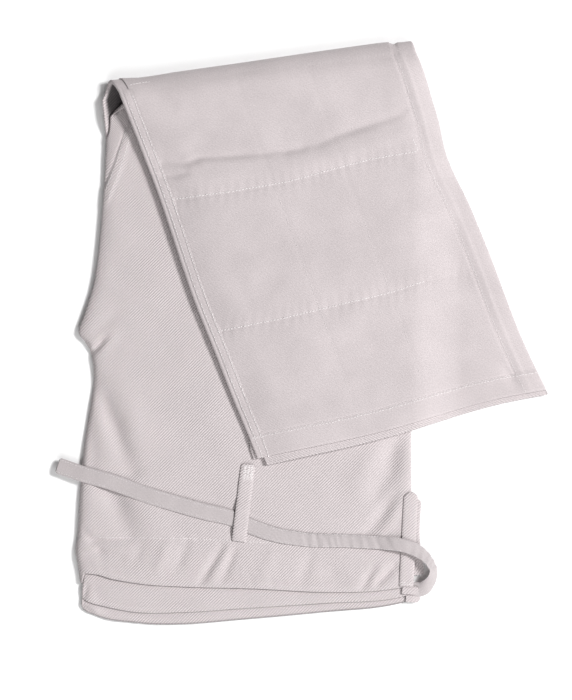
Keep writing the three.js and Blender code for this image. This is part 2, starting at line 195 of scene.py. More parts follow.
def edge_curve(points, steps=600):
    """An edge as a function of the fraction of its length."""
    points = np.array(points, float)
    knots = run_along(points)
    fine = hermite(knots, points, np.linspace(0, knots[-1], steps))
    run = run_along(fine)
    end = unit(fine[-1] - fine[-4])

    def at(fraction, past=0.0):
        """The point at a fraction of the length, or past mm beyond the end."""
        base = np.stack([np.interp(fraction, run / run[-1], fine[:, k]) for k in (0, 1)], axis=-1)
        return base + np.asarray(past, float)[..., None] * end

    return at


leg_left, leg_right = edge_curve(LEG_LEFT), edge_curve(LEG_RIGHT)
NOISE_GRID = 64
NOISE_SHIFT = 200.0


def soft_noise(x, y, cell, seed):
    """Smooth random heights from -1 to 1, about one bump to a cell, the same each run."""
    grid = np.random.default_rng(seed).uniform(-1, 1, (NOISE_GRID, NOISE_GRID))
    u, v = np.asarray(x) / cell + NOISE_SHIFT, np.asarray(y) / cell + NOISE_SHIFT
    i, j = np.floor(u).astype(int), np.floor(v).astype(int)
    a, b = smooth(u - i), smooth(v - j)

    def corner(right, up):
        return grid[(i + right) % NOISE_GRID, (j + up) % NOISE_GRID]

    return lerp(lerp(corner(0, 0), corner(1, 0), a), lerp(corner(0, 1), corner(1, 1), a), b)


def off_line(x, y, points):
    """Distance of points from a line, over 0 on its left, and the share of its length at which they lie."""
    points = np.array(points, float)
    starts = run_along(points)
    best, along = np.full(np.shape(x), np.inf), np.zeros(np.shape(x))
    for k, (a, b) in enumerate(zip(points, points[1:])):
        d = b - a
        t = np.clip(((x - a[0]) * d[0] + (y - a[1]) * d[1]) / (d @ d), 0, 1)
        away = np.hypot(x - a[0] - t * d[0], y - a[1] - t * d[1])
        away = away * np.where(d[0] * (y - a[1]) - d[1] * (x - a[0]) < 0, -1, 1)
        nearer = np.abs(away) < np.abs(best)
        best = np.where(nearer, away, best)
        along = np.where(nearer, lerp(starts[k], starts[k + 1], t) / starts[-1], along)
    return best, along


# ---- Folds and creases ----
# Points along each, its half width and its height. A fourth value is the half width on the line's left where
# that differs, for a crease that is steep on one side.
BODY_FOLDS = [
    ([(-184, -4), (-190, -11), (-197, -18)], 2.6, -1.3),
    ([(-178, -2), (-187, -14)], 5, 0.5),
    ([(-190, 4), (-176, 16)], 6, -0.35),
    ([(-191, -46), (-182, -72), (-173, -97), (-162, -124)], 8, -1.3),
    ([(-174, -40), (-162, -72), (-150, -104)], 10, 0.5),
    ([(-201, -70), (-196, -100), (-196, -130)], 6, -0.5),
    ([(-184, -140), (-173, -160), (-163, -180)], 10, -1.6),
    ([(-152, -140), (-140, -180)], 14, 0.5),
    ([(60, -146), (70, -120), (82, -90)], 9.5, -1.75),
    ([(40, -128), (58, -92)], 14, 0.5),
    ([(30, -134), (40, -112), (56, -98)], 12, -0.5),
    ([(54, -178), (66, -162), (76, -146)], 6, -1.1),
    ([(66, -178), (80, -152)], 6, 0.5),
    ([(-80, -193), (-88, -208), (-98, -224)], 3.6, -1.0),
    ([(-74, -194), (-82, -208), (-90, -222)], 3.4, 0.6),
    ([(-69, -197), (-79, -223)], 3.2, -0.8),
    ([(57, -214), (47, -229)], 3.4, -1.1),
    ([(66, -209), (52, -224)], 3.6, 0.6),
    ([(75, -211), (60, -226)], 3.2, -1.0),
    ([(14, -211), (24, -222)], 9, -0.8),
    ([(-203, -180), (-191, -192), (-186, -204)], 4, -0.8),
    ([(-206, -190), (-190, -187), (-176, -190)], 3.2, -0.6),
    ([(-200, -199), (-184, -196), (-170, -204)], 4, -0.55),
    ([(-192, -193), (-174, -199)], 3.5, 0.4),
    ([(-150, -186), (-158, -206)], 5, -0.5),
    ([(-128, -188), (-138, -214)], 5, 0.45),
    ([(-112, -190), (-120, -212)], 4.5, -0.45),
    ([(-34, -198), (-44, -222)], 6, 0.4),
    ([(0, -200), (-8, -224)], 5, -0.4),
    ([(-176, 100), (-150, 40)], 16, 0.3),
    ([(-110, -40), (-60, -110)], 22, 0.35),
    ([(-130, -60), (-90, -150)], 16, -0.3),
    ([(0, -130), (60, -150)], 20, 0.3),
]
LEG_FOLDS = [
    ([(-132, 154), (-112, 152.5), (-98, 158), (-70, 159.5), (-36, 162), (-8, 166)], 4.2, -1.1, 8),
    ([(-22, 163), (4, 169), (24, 178), (52, 187), (80, 197)], 5, -0.95, 9),
    ([(-134, 141.5), (-122, 141), (-112, 143)], 2.6, -0.55),
    ([(-131, 163), (-118, 160), (-106, 164)], 5, -0.4),
    ([(-130, 134), (-70, 142), (-20, 147), (30, 161), (88, 180)], 8, 0.5),
    ([(-30, 60), (60, 20)], 42, 0.8),
    ([(-120, 196), (-20, 214), (60, 226)], 14, -0.35),
    ([(-150, 190), (-130, 176)], 9, 0.35),
    ([(-146, 214), (-126, 205)], 7, -0.45),
    ([(-60, 70), (40, 96)], 16, -0.4),
    ([(20, -10), (110, 16)], 14, -0.45),
    ([(60, 120), (110, 60)], 18, 0.5),
    ([(-40, -60), (0, -20)], 16, 0.45),
    ([(-84, 80), (-60, 30)], 12, -0.35),
    ([(86, 214), (100, 170), (112, 140)], 7, -0.5),
    ([(130, 60), (160, 20)], 12, -0.35),
    ([(150, -20), (186, -38)], 9, -0.5),
    ([(177, -33), (184, -48)], 5, -0.8),
]
# The backs' waists are crumpled at the centre seam.
WAIST_CORNER_FOLDS = [
    ([(-204, -240), (-201, -228)], 2.0, -2.6),
    ([(-207, -243.5), (-199, -246.5), (-191, -249.5)], 2.2, 3.2),
    ([(-202, -251), (-195, -254.5), (-186, -257)], 2.0, -2.8),
    ([(-197, -247), (-190, -253)], 1.9, 2.2),
    ([(-193, -232), (-186, -247)], 5, -1.5),
]
BODY_DEPTH = 2.8
LEG_DEPTH = 2.5
FOLD_FADE = 0.45
FOLD_UNEVEN = 0.35

# The cloth's softness: height, cell, seed and slant of each kind of bump.
BODY_SOFTNESS = [(0.38, 46, 3, 0), (0.2, 17, 5, 0.4), (0.06, 8, 6, 0)]
LEG_SOFTNESS = [(0.34, 52, 11, 0), (0.18, 19, 12, 0), (0.05, 8, 13, 0)]

# The leg lies on the body above this line. The limits are how far the body's folds may rise there and below.
UNDER_LEG = [(-175, 190), (-45, -115), (90, -85)]
UNDER_LEG_EDGE = 14
UNDER_LEG_LIMIT = 0.6
OPEN_LIMIT = 2.4


def relief(folds, x, y):
    """Height of a table's folds. Each fades towards its ends and is a little uneven."""
    total = np.zeros(np.shape(x))
    for points, width, height, *left_width in folds:
        away, along = off_line(x, y, points)
        fade = 1 - FOLD_FADE + FOLD_FADE * np.sin(np.pi * np.clip(along, 0.04, 0.96))
        shape = bell(away, width)
        if left_width:
            shape = np.where(away > 0, np.exp(-np.abs(away) / left_width[0]), shape)
        uneven = 1 + FOLD_UNEVEN * soft_noise(x, y, 21, 8)
        total += height * fade * uneven * shape
    return total


def softness(bumps, x, y):
    return sum(height * soft_noise(x + slant * y, y, cell, seed) for height, cell, seed, slant in bumps)


def body_relief(x, y):
    under_leg = smooth((y - np.interp(x, *zip(*UNDER_LEG))) / UNDER_LEG_EDGE)
    total = BODY_DEPTH * relief(BODY_FOLDS, x, y) + softness(BODY_SOFTNESS, x, y) * (1 - under_leg)
    return np.minimum(total, lerp(OPEN_LIMIT, UNDER_LEG_LIMIT, under_leg))


def leg_relief(x, y):
    return LEG_DEPTH * relief(LEG_FOLDS, x, y) + softness(LEG_SOFTNESS, x, y)


def roll_height(from_tip):
    """Height of the fold's upper half over its middle, from its tip up to its crest."""
    left = np.clip(1 - from_tip / ROLL_LENGTH, 0, 1)
    return ROLL_HEIGHT * np.sqrt(1 - left**2)


# ---- The run of sections from the waist, round the knee fold, to the hem ----
class Run:
    """Sections in order. Each has a left and a right end, and turns a depth in the stack into a place."""

    def __init__(self, body=(), turn=(), leg=(), rows=BODY_ROWS, waist=FRONT_WAIST, past_hem=(0, 0)):
        body, turn, leg = (np.asarray(part, float) for part in (body, turn, leg))
        self.kind = np.array(["body"] * len(body) + ["turn"] * len(turn) + ["leg"] * len(leg))
        self.on = {kind: (self.kind == kind)[:, None] for kind in ("body", "turn", "leg")}
        self.at = np.concatenate([body, turn, leg])
        self.angle = np.pi * np.concatenate([0 * body, turn, 0 * leg + 1])[:, None]
        self.along_leg = np.where(self.on["leg"], self.at[:, None] * LEG_LENGTH, 0.0)
        self.set_edges(body, turn, leg, rows, past_hem)
        self.set_waist(body, rows, waist)
        self.set_stack(len(body) + len(turn), leg)

    def set_edges(self, body, turn, leg, rows, past_hem):
        self.rows = hermite(np.arange(len(rows)), rows, body) if len(body) else np.zeros((0, 5))
        knee = BODY_ROWS[-1]
        over = np.clip(leg - 1, 0, None)
        ends = []
        for side, edge in enumerate((leg_left, leg_right)):
            xy = slice(2 * side, 2 * side + 2)
            down_leg = edge(np.minimum(leg, 1), over * past_hem[side])
            round_turn = lerp(knee[xy], edge(0.0), turn[:, None])
            ends.append(np.concatenate([self.rows[:, xy], round_turn, down_leg]))
        self.left, self.right = ends
        self.width = np.linalg.norm(self.right - self.left, axis=1)[:, None]

    def set_waist(self, body, rows, waist):
        self.waist = np.array(waist, float)
        self.waist_row = rows[0]
        beyond = np.zeros(len(self.at) - len(body))
        nub = np.exp(-body * ROW_STEP / NUB_REACH) if waist is FRONT_WAIST else 0 * body
        self.sag = np.concatenate([self.rows[:, 4], beyond])[:, None]
        self.nub = np.concatenate([nub, beyond])[:, None]

    def set_stack(self, before_leg, leg):
        before = np.zeros(before_leg)
        hem = smooth((leg - HEM_THINS) / (1 - HEM_THINS))
        settled = smooth(leg / SETTLE)
        first = 2 * TURN - LEG_LIFT - TURN_AIR
        leg_stack = lerp(lerp(first, LEG_STACK, settled), HEM_STACK, hem)
        self.stack = np.concatenate([before + BODY_STACK, leg_stack])[:, None]
        self.lift = np.concatenate([before, TURN_AIR * (1 - settled)])[:, None]
        self.wave = np.concatenate([before, HEM_WAVE * hem])[:, None]

    def by_part(self, body, turn, leg):
        return np.where(self.on["body"], body, np.where(self.on["turn"], turn, leg))

    def flat(self, s):
        """x and y of points at s from the left end of each section."""
        across = s / self.width
        x = lerp(self.left[:, 0:1], self.right[:, 0:1], across)
        y = lerp(self.left[:, 1:2], self.right[:, 1:2], across)
        inside = np.clip(across, 0, 1)
        straight = lerp(self.waist_row[1], self.waist_row[3], inside)
        y = y + self.sag * (edge_y(self.waist, x) - straight) + self.nub * np.interp(x, *zip(*FRONT_NUB))
        return x, y - self.wave * np.sin(2 * np.pi * inside**1.4)

    def unfolded(self, s):
        """x and y of points as they lie with the leg folded out straight."""
        x, y = self.flat(s)
        beyond = x * ACROSS_FOLD[0] + y * ACROSS_FOLD[1] - FOLD_LINE
        ahead = self.by_part(0.0, self.angle * TURN, np.pi * TURN - 2 * beyond)
        return np.stack([x + ACROSS_FOLD[0] * ahead, y + ACROSS_FOLD[1] * ahead], axis=-1)

    def near_fold(self, far):
        """1 at the knee fold and 0 at a distance of far mm from it, for each section."""
        up = self.right[:, 1:2]
        return self.by_part(smooth(1 - (up.max() - 1 - up) / far), 1.0, smooth(1 - self.along_leg / far))

    def leg_height(self, x, y, h, taper, extra):
        """Heights in the folded leg. Past the side seam it comes down to the floor."""
        underside = LEG_LIFT * (1 - smooth((x - SIDE_SEAM_X) / DRAPE))
        raised = (leg_relief(x, y) + extra) * (1 - h / self.stack)
        return underside + self.lift + (self.stack - h) * taper + raised

    def crest(self):
        """How far the outer layers rise to a crest just past the fold, before they settle again."""
        settled = bell(np.clip(self.along_leg + TURN - ROLL_LENGTH, 0, None), ROLL_SETTLES)
        return (roll_height(self.along_leg + TURN) - TURN) * settled

    def bulge(self):
        """How far the outer layers rise over the upper half of a plain round turn."""
        half = np.clip(self.angle - np.pi / 2, 0, None)
        return roll_height(TURN * (1 - np.cos(half))) - TURN * np.sin(half)

    def place(self, s, h, taper=1.0, extras=(0.0, 0.0), reach=0.0, recede=0.0, lip_height=0.0):
        """Places of points at s along each section and h into the stack from its outer face.

        taper brings the layers together towards the edges, and the extras lift the top layer of the body and
        of the leg. reach widens the turn, recede draws the inner layers back from it, and the lip curls its
        open end."""
        x, y = self.flat(s)
        depth = h / self.stack
        lip = lip_height * bell(s, LIP_WIDTH) * smooth((self.near_fold(LIP_REACH) - 0.3) / 0.6)
        radius = TURN - h - lip * until(self.angle, 0, LIP_TURN)
        outer = np.clip(OUTER_SHARE * (1 - depth), 0, 1)
        z_body = h * taper + (body_relief(x, y) + extras[0]) * depth + lip
        z_turn = TURN - radius * np.cos(self.angle) + outer * self.bulge()
        z_leg = self.leg_height(x, y, h, taper, extras[1]) + outer * self.crest()
        z = np.maximum(self.by_part(z_body, z_turn, z_leg), CLOTH / 2)
        out = self.by_part(0.0, (radius + reach) * np.sin(self.angle), 0.0)
        out = out - recede * self.near_fold(INNER_REACH)
        x = x + ACROSS_FOLD[0] * out - MIDDLE[0]
        y = y + ACROSS_FOLD[1] * out - MIDDLE[1]
        return np.stack([x, y, z], axis=-1)


# ---- Meshes ----
def make_object(name, points, faces, uvs, shade=None):
    mesh = bpy.data.meshes.new(name)
    corners = [tuple(p) for p in np.asarray(points, float).reshape(-1, 3)]
    mesh.from_pydata(corners, [], [tuple(f) for f in faces])
    layer = mesh.uv_layers.new(name="cloth")
    loops = np.zeros(len(mesh.loops), np.int32)
    mesh.loops.foreach_get("vertex_index", loops)
    layer.data.foreach_set("uv", np.asarray(uvs, np.float32).reshape(-1, 2)[loops].ravel())
    # shade is painted shade, from 0 to 1, that darkens the cloth's colour.
    if shade is not None:
        grey = mesh.attributes.new("fold_shade", "FLOAT", "POINT")
        grey.data.foreach_set("value", np.asarray(shade, np.float32).ravel())
    mesh.polygons.foreach_set("use_smooth", [True] * len(mesh.polygons))
    mesh.update()
    piece = bpy.data.objects.new(name, mesh)
    bpy.context.collection.objects.link(piece)
    return piece


def grid_faces(rows, columns):
    i, j = np.meshgrid(np.arange(rows - 1), np.arange(columns - 1), indexing="ij")
    a = (i * columns + j).ravel()
    return np.stack([a, a + 1, a + columns + 1, a + columns], axis=1)


def sheet_object(name, points, cloth_uv, thickness=CLOTH, shade=None):
    """A sheet of cloth through a grid of points in mm, with its thickness and rim."""
    rows, columns = points.shape[:2]
    piece = make_object(name, points * MM, grid_faces(rows, columns), cloth_uv * MM, shade)
    solid = piece.modifiers.new("cloth", "SOLIDIFY")
    solid.thickness = thickness * MM
    solid.offset = 0
    solid.use_even_offset = False
    solid.use_rim = True
    return piece


# ---- Materials ----
# Shares of the ribs' pitch and height, and how strong the specks and the ribs' painted shade are.
THREAD_PITCH = 0.62
THREAD_SHARE = 0.35
FIBRE_SHARE = 0.9
SPECKS = 0.46
RIB_SHARE = 0.62


class ClothNodes:
    """The nodes of one cloth material."""

    def __init__(self, name):
        self.material = bpy.data.materials.new(name)
        self.material.use_nodes = True
        self.tree = self.material.node_tree
        self.tree.nodes.clear()
        self.where = self.add("ShaderNodeUVMap", uv_map="cloth").outputs[0]

    def add(self, kind, inputs=(), **values):
        """A node with its settings, and its inputs by name: each a plain value or another node's output."""
        made = self.tree.nodes.new(kind)
        for key, value in values.items():
            setattr(made, key, value)
        for key, value in dict(inputs).items():
            if isinstance(value, bpy.types.NodeSocket):
                self.tree.links.new(value, made.inputs[key])
            else:
                made.inputs[key].default_value = value
        return made

    def noise(self, scale, detail):
        inputs = {"Scale": scale, "Detail": detail, "Vector": self.where}
        return self.add("ShaderNodeTexNoise", inputs).outputs[0]

    def math(self, operation, *values):
        return self.add("ShaderNodeMath", enumerate(values), operation=operation).outputs[0]

    def weave(self, twill, pitch):
        """Diagonal ribs that wander a little, broken into threads."""
        turn = {"Vector": self.where, "Rotation": (0, 0, math.radians(twill))}
        split = self.add("ShaderNodeSeparateXYZ", {0: self.add("ShaderNodeMapping", turn).outputs[0]})
        wander = self.math("MULTIPLY", self.noise(220, 2), 1.6)
        rib_phase = self.math("MULTIPLY", split.outputs[0], 2 * math.pi / (pitch * MM))
        rib = self.math("SINE", self.math("ADD", rib_phase, wander))
        thread_phase = self.math("MULTIPLY", split.outputs[1], 2 * math.pi / (THREAD_PITCH * pitch * MM))
        thread = self.math("SINE", self.math("ADD", thread_phase, self.math("MULTIPLY", rib_phase, 0.5)))
        return self.math("ADD", rib, self.math("MULTIPLY", thread, THREAD_SHARE))

    def lightness(self, weave, contrast, mottle):
        """How light the cloth is: soft mottling, fine specks, painted shade on the ribs in patches, and in
        the gaps.
        """
        tone = self.math("MULTIPLY", self.math("SUBTRACT", self.noise(26, 3), 0.5), 2 * mottle)
        # Painted shade of the twill's ribs, stronger in some patches.
        rib_patches = self.math("MULTIPLY", self.math("SUBTRACT", self.noise(31, 2), 0.42), 6.0)
        raised = self.add("ShaderNodeClamp", {0: rib_patches}).outputs[0]
        sharp = self.math("ADD", self.math("MULTIPLY", raised, 0.75), 0.3)
        ribs = self.math("MULTIPLY", self.math("MULTIPLY", weave, sharp), contrast * RIB_SHARE)
        specks = self.math("MULTIPLY", self.math("SUBTRACT", self.noise(900, 2), 0.5), SPECKS)
        value = self.math("ADD", self.math("ADD", tone, ribs), specks)
        # Painted shade from the fold_shade attribute darkens the cloth in gaps, in the open fold and at the
        # lowest waist edge.
        shade = self.add("ShaderNodeAttribute", attribute_name="fold_shade")
        unshaded = self.math("SUBTRACT", 1.0, shade.outputs["Fac"])
        return self.math("MULTIPLY", self.math("ADD", value, 1.0), unshaded)


def cloth_material(name, colour, twill=45.0, pitch=1.95, relief_mm=0.17, contrast=0.21, mottle=0.05):
    """Cotton twill: fine diagonal ribs broken into threads, soft mottling and a dry, fuzzy surface."""
    nodes = ClothNodes(name)
    weave = nodes.weave(twill, pitch)
    height = nodes.math("ADD", weave, nodes.math("MULTIPLY", nodes.noise(2600, 3), FIBRE_SHARE))
    bump = nodes.add("ShaderNodeBump", {"Strength": 1.0, "Distance": relief_mm * MM, "Height": height})
    lightness = nodes.lightness(weave, contrast, mottle)
    mixed = {0: 1.0, 6: (*colour, 1), 7: lightness}
    paint = nodes.add("ShaderNodeMix", mixed, data_type="RGBA", blend_type="MULTIPLY")
    surface = {
        "Roughness": 0.93,
        "Specular IOR Level": 0.2,
        "Sheen Weight": 0.25,
        "Sheen Roughness": 0.6,
        "Normal": bump.outputs[0],
        "Base Color": paint.outputs[2],
    }
    shader = nodes.add("ShaderNodeBsdfPrincipled", surface)
    nodes.add("ShaderNodeOutputMaterial", {0: shader.outputs[0]})
    return nodes.material


DRILL_COLOUR = (0.575, 0.52, 0.526)
LEG_COLOUR = (0.533, 0.481, 0.487)
TAPE_COLOUR = (0.489, 0.445, 0.45)
THREAD_COLOUR = (0.84, 0.81, 0.81)

drill = cloth_material("cotton drill", DRILL_COLOUR)
leg_drill = cloth_material("cotton drill, leg", LEG_COLOUR, relief_mm=0.06, contrast=0.014, mottle=0.12)
tape_cloth = cloth_material("tape", TAPE_COLOUR, twill=0.0, pitch=1.1, relief_mm=0.06, contrast=0.04)
thread_cloth = cloth_material("thread", THREAD_COLOUR, twill=0.0, pitch=0.5, relief_mm=0.03, contrast=0.02)


def finish_piece(piece, material, slot, *nodes):
    piece.data.materials.append(material)
    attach(piece, "root")
    if nodes:
        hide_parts(*nodes)
    return piece


# ---- The four layers ----
# Each layer's height in the stack, and the height where it joins the other layer of its leg, as shares.
LAYER_HEIGHTS = {"front_left": 0.07, "back_left": 0.36, "back_right": 0.64, "front_right": 0.93}
TUBE_JOINS = {"front_left": 0.215, "back_left": 0.215, "back_right": 0.785, "front_right": 0.785}
HALVES_JOIN = 0.5

TURN_KEYS = np.linspace(0, 1, 20)[1:-1]
CURL = np.radians([0, 18, 36, 54, 72])
EDGE_ROLL = np.array([0.0, 0.35, 0.8, 1.4, 2.2])
LIP = 7.0
PANEL_WIDTH = 280.0
PAST_HEM = (8, 4.5)

# How far the turned-in edges bend away: at the waists, at the left front's hem and at the left back's.
WAIST_ROLL = -0.5
FRONT_HEM_ROLL = 1.5
BACK_HEM_ROLL = 0.9

# Spacing of the points across a layer, inside and near its edges.
LEG_SPACING = (2.4, 0.7)
BODY_SPACING = (2.4, 1.4)
BACK_SPACING = (5.0, 1.4)

# How the stack thins at its edges: a quarter round of these radii, but a long slope at the leg's left.
LEFT_ROUND = 12.0
RIGHT_ROUND = 8.0
LEG_SLOPE = 42.0
LEG_SLOPE_STARTS = -3.0

# The share of the stack's height that is lost at its edges, in the body, the turn and the leg.
LEFT_LOSS = ([(0, 0.5), (LAST_ROW - 1, 0.45), (LAST_ROW, 0.1)], [(0, 0)], [(0, 0), (0.2, 0.4), (1, 0.55)])
RIGHT_LOSS = ([(0, 0.25), (LAST_ROW - 1, 0.3), (LAST_ROW, 0.1)], [(0, 0)], [(0, 0), (0.1, 0.2), (1, 0.25)])

# Widths of the hem band and the felled seam, and where the side seam's ridge is from the right edge.
HEM_BAND = 21.0
FELLED = 10.5
SIDE_RIDGE = 13.5
NICK_BESIDE = 2.5
NICK_WIDTH = 1.9
NICK_DEPTH = 1.7
CASING_SEAM = [(-211, -184), (-191, -185), (-116, -185.5), (-57, -188.5), (0, -190), (50, -188.5), (92, -184)]
CASING_EDGE = [(-207, -226), (-122, -231), (-60, -234), (0, -235.5), (60, -232), (90, -227)]

# The right leg's inner seam, which comes up onto its top face near the knee. The felled band is on its left.
LEG_SEAM = [(-188.5, 122), (-186.8, 128), (-182.3, 139), (-176, 155), (-167, 186.8), (-160, 214)]

# The backs stop short of the fronts at the centre seam near the waist.
WAIST_INSET = [(0, 0.6), (0.6, 2.5), (1.2, 5.5), (2, 3.5), (3, 1.8), (FORK_ROW - 0.6, 1.8), (FORK_ROW, 0)]

# The inner layers stop short of the outer ones at the fold, and show past them further down the leg.
INNER_BODY_INSET = [(11.3, 0), (11.6, 3), (12, 5)]
INNER_TURN_INSET = [(0, 5), (1, 10)]
INNER_LEG_INSET = [(0, 10), (0.1, 6), (0.3, 3), (0.93, 1.5), (0.97, -3), (1, -3.5)]

# The waist edge that lies on top of each back, with painted shade in the gap under it.
EDGE_ABOVE = {"back_right": FRONT_WAIST, "back_left": BACK_WAISTS["back_right"]}


def by_row(run, body, turn, leg):
    """A value for each section: each of the three is a table of (key, value)."""
    out = np.zeros(len(run.at))
    for kind, table in (("body", body), ("turn", turn), ("leg", leg)):
        mask = run.kind == kind
        keys, values = zip(*table)
        out[mask] = np.interp(run.at[mask], keys, values)
    return out[:, None]


def body_keys(first, last, spacing, rows=BODY_ROWS):
    """Row numbers of body sections, evenly spaced along the body."""
    keys = np.linspace(0, len(rows) - 1, 400)
    rows = hermite(np.arange(len(rows)), rows, keys)
    up = np.maximum.accumulate((rows[:, 1] + rows[:, 3]) / 2)
    start, end = np.interp([first, last], keys, up)
    count = max(2, int(round((end - start) / spacing)))
    return np.interp(np.linspace(start, end, count), up, keys)


def back_keys(rows):
    """Row numbers of a back's body sections, closer together where its waist shows."""
    keys = np.concatenate([body_keys(0, 2, 0.9, rows), body_keys(2, LAST_ROW, 5.0, rows)[1:]])
    return closer(keys, keys[0] + EDGE_ROLL / ROW_STEP)


def closer(keys, more):
    """Keys with some more among them, in order."""
    return np.unique(np.round(np.concatenate([keys, more]), 5))


def hem_keys(end, count):
    """Shares of the leg's length down to an edge, closer together near it, where it rolls."""
    return closer(np.linspace(0, end, count), end - EDGE_ROLL / LEG_LENGTH)


def face_nodes(width, spacing, edge_spacing, edge=14.0):
    """Shares of a width, closer together near both edges."""
    near = np.arange(0, edge, edge_spacing)
    middle = np.linspace(edge, width - edge, max(2, int((width - 2 * edge) / spacing)))
    return np.concatenate([near, middle, width - near[::-1]]) / width


def taper_of(run, s):
    """How the stack thins towards its edges: 1 inside, less at the edges."""
    left = np.clip(s / LEFT_ROUND, 0, 1)
    right = np.clip((run.width - s) / RIGHT_ROUND, 0, 1)
    slope = smooth((s - LEG_SLOPE_STARTS) / LEG_SLOPE)
    round_left = np.where(run.on["leg"], slope, np.sqrt(1 - (1 - left) ** 2))
    round_right = np.sqrt(1 - (1 - right) ** 2)
    left_loss = by_row(run, *LEFT_LOSS) * (1 - round_left)
    right_loss = by_row(run, *RIGHT_LOSS) * (1 - round_right)
    return (1 - left_loss) * (1 - right_loss)


def layer_grid(run, layer, inset, nodes):
    """Points of one layer: how far across each is and how deep in the stack.

    It runs round both edges to the height where it joins its partner. That is the other layer of its own leg,
    but at the left below the fork it is the other half's. The inset moves its left end in."""
    tube = TUBE_JOINS[layer]
    body_joins = [(0, HALVES_JOIN), (FORK_ROW - 0.6, HALVES_JOIN), (FORK_ROW, tube), (LAST_ROW, tube)]
    level = LAYER_HEIGHTS[layer] * run.stack
    join_left = by_row(run, body_joins, [(0, tube)], [(0, tube)]) * run.stack
    join_right = tube * run.stack
    curl_left = np.abs(level - join_left)
    curl_right = np.abs(level - join_right)
    across = [
        inset + curl_left * (1 - np.cos(CURL)),
        inset + curl_left + (run.width - inset - curl_left - curl_right) * nodes,
        (run.width - curl_right * (1 - np.cos(CURL)))[:, ::-1],
    ]
    deep = [
        join_left + (level - join_left) * np.sin(CURL),
        level + 0 * across[1],
        (join_right + (level - join_right) * np.sin(CURL))[:, ::-1],
    ]
    return np.concatenate(across, axis=1), np.concatenate(deep, axis=1)


def turn_reach(run, s):
    """How far the turn stands out, with a nick where the side seam goes over it."""
    nick = NICK_DEPTH * bell(run.width - s - SIDE_RIDGE - NICK_BESIDE, NICK_WIDTH)
    return np.interp(s, *zip(*FOLD_REACH)) - nick


def rolled(run, at_waist, at_hem):
    """How far the turned-in edge at the waist and at the hem bends away, in mm, for each section."""
    along = run_along((run.left + run.right) / 2)
    out = np.zeros(len(run.at))
    for distance, depth in ((along, at_waist), (along[-1] - along, at_hem)):
        if depth:
            near = np.clip(1 - distance / abs(depth), 0, 1)
            out += depth * (1 - np.sqrt(1 - near**2))
    return out[:, None]


# ---- Painted shade in gaps, in the open fold and on the lowest waist edge, from 0 to 1 ----
PAINTED_FOLD_SHADE = 0.84
PAINTED_FOLD_SHADE_TURN = 1.9
PAINTED_GAP_SHADE = 0.5
PAINTED_EDGE_SHADE = 0.48


def fold_shade(run, s):
    """How much painted shade darkens the cloth deep inside the open fold, but not on its rim."""
    inside = ~run.on["leg"] & (run.angle < PAINTED_FOLD_SHADE_TURN)
    return np.where(inside, PAINTED_FOLD_SHADE * run.near_fold(INNER_REACH) * smooth((s - 1.6) / 2.4), 0.0)


def gap_shade(run, s, edge):
    """How much painted shade darkens the cloth in the narrow gap under the waist edge that lies on it."""
    x, y = run.flat(s)
    below = edge_y(edge, x) - y
    uneven = np.clip(0.85 + 0.4 * soft_noise(x, y, 40, 43), 0.4, 1)
    line = smooth((below + 5) / 2) * until(below, 0.3, 1.4)
    return np.where(run.on["body"], PAINTED_GAP_SHADE * uneven * line, 0.0)


def own_edge_shade(run, s):
    """How much painted shade darkens the lowest waist edge, where it turns down to the floor."""
    x, y = run.flat(s)
    inside = y - edge_y(BACK_WAISTS["back_left"], x)
    return np.where(run.on["body"], PAINTED_EDGE_SHADE * until(inside, 0.2, 1.2), 0.0)


def layer_shade(run, s, layer):
    """The painted shade of a layer's gaps, for the layers that show in one."""
    if layer not in EDGE_ABOVE:
        return None
    shade = gap_shade(run, s, EDGE_ABOVE[layer])
    if layer == "back_left":
        shade = np.maximum(shade, np.maximum(fold_shade(run, s), own_edge_shade(run, s)))
    return shade


# ---- Seams, bands and ripples: what each adds to the top face of the body and of the leg ----
BAND_WANDER = 0.25
FELLED_HEIGHT = 0.75
FELLED_PUCKER = 0.26
FELLED_PUCKER_LENGTH = 4.6
FIRST_ROW = 2.9
HEM_HEIGHT = 0.85
RIDGE_HEIGHT = 0.95
RIDGE_WIDTH = 2.2
STITCH_DIMPLE = 0.22
STITCH_DIMPLE_WIDTH = 0.7
CASING_PUFF = 0.4
CASING_DEPTH = 35
CASING_PUCKER = 0.16
CASING_PUCKER_LENGTH = 9.5
CASING_SEAM_DEPTH = 0.5
LEG_SEAM_WIDTH = 7.6
LEG_SEAM_GROOVE = 1.1
BACK_RIPPLE = 0.3
BACK_RIPPLE_LENGTH = 10.5


def felled_leg_seam(along, s, wander):
    """The felled seam down the folded leg's left edge, puckered, with a groove beside its first stitches."""
    phase = 2 * np.pi * along / FELLED_PUCKER_LENGTH + 2.5 * soft_noise(along, s * 0, 15, 32)
    height = FELLED_HEIGHT + FELLED_PUCKER * np.sin(phase)
    band = height * smooth(s / 3.4) * until(s, FELLED + 1.0 + wander, 1.6)
    return band + 0.14 * soft_noise(along, s, 3.6, 33) * (s < FELLED) - 0.75 * bell(s - FIRST_ROW, 0.75)


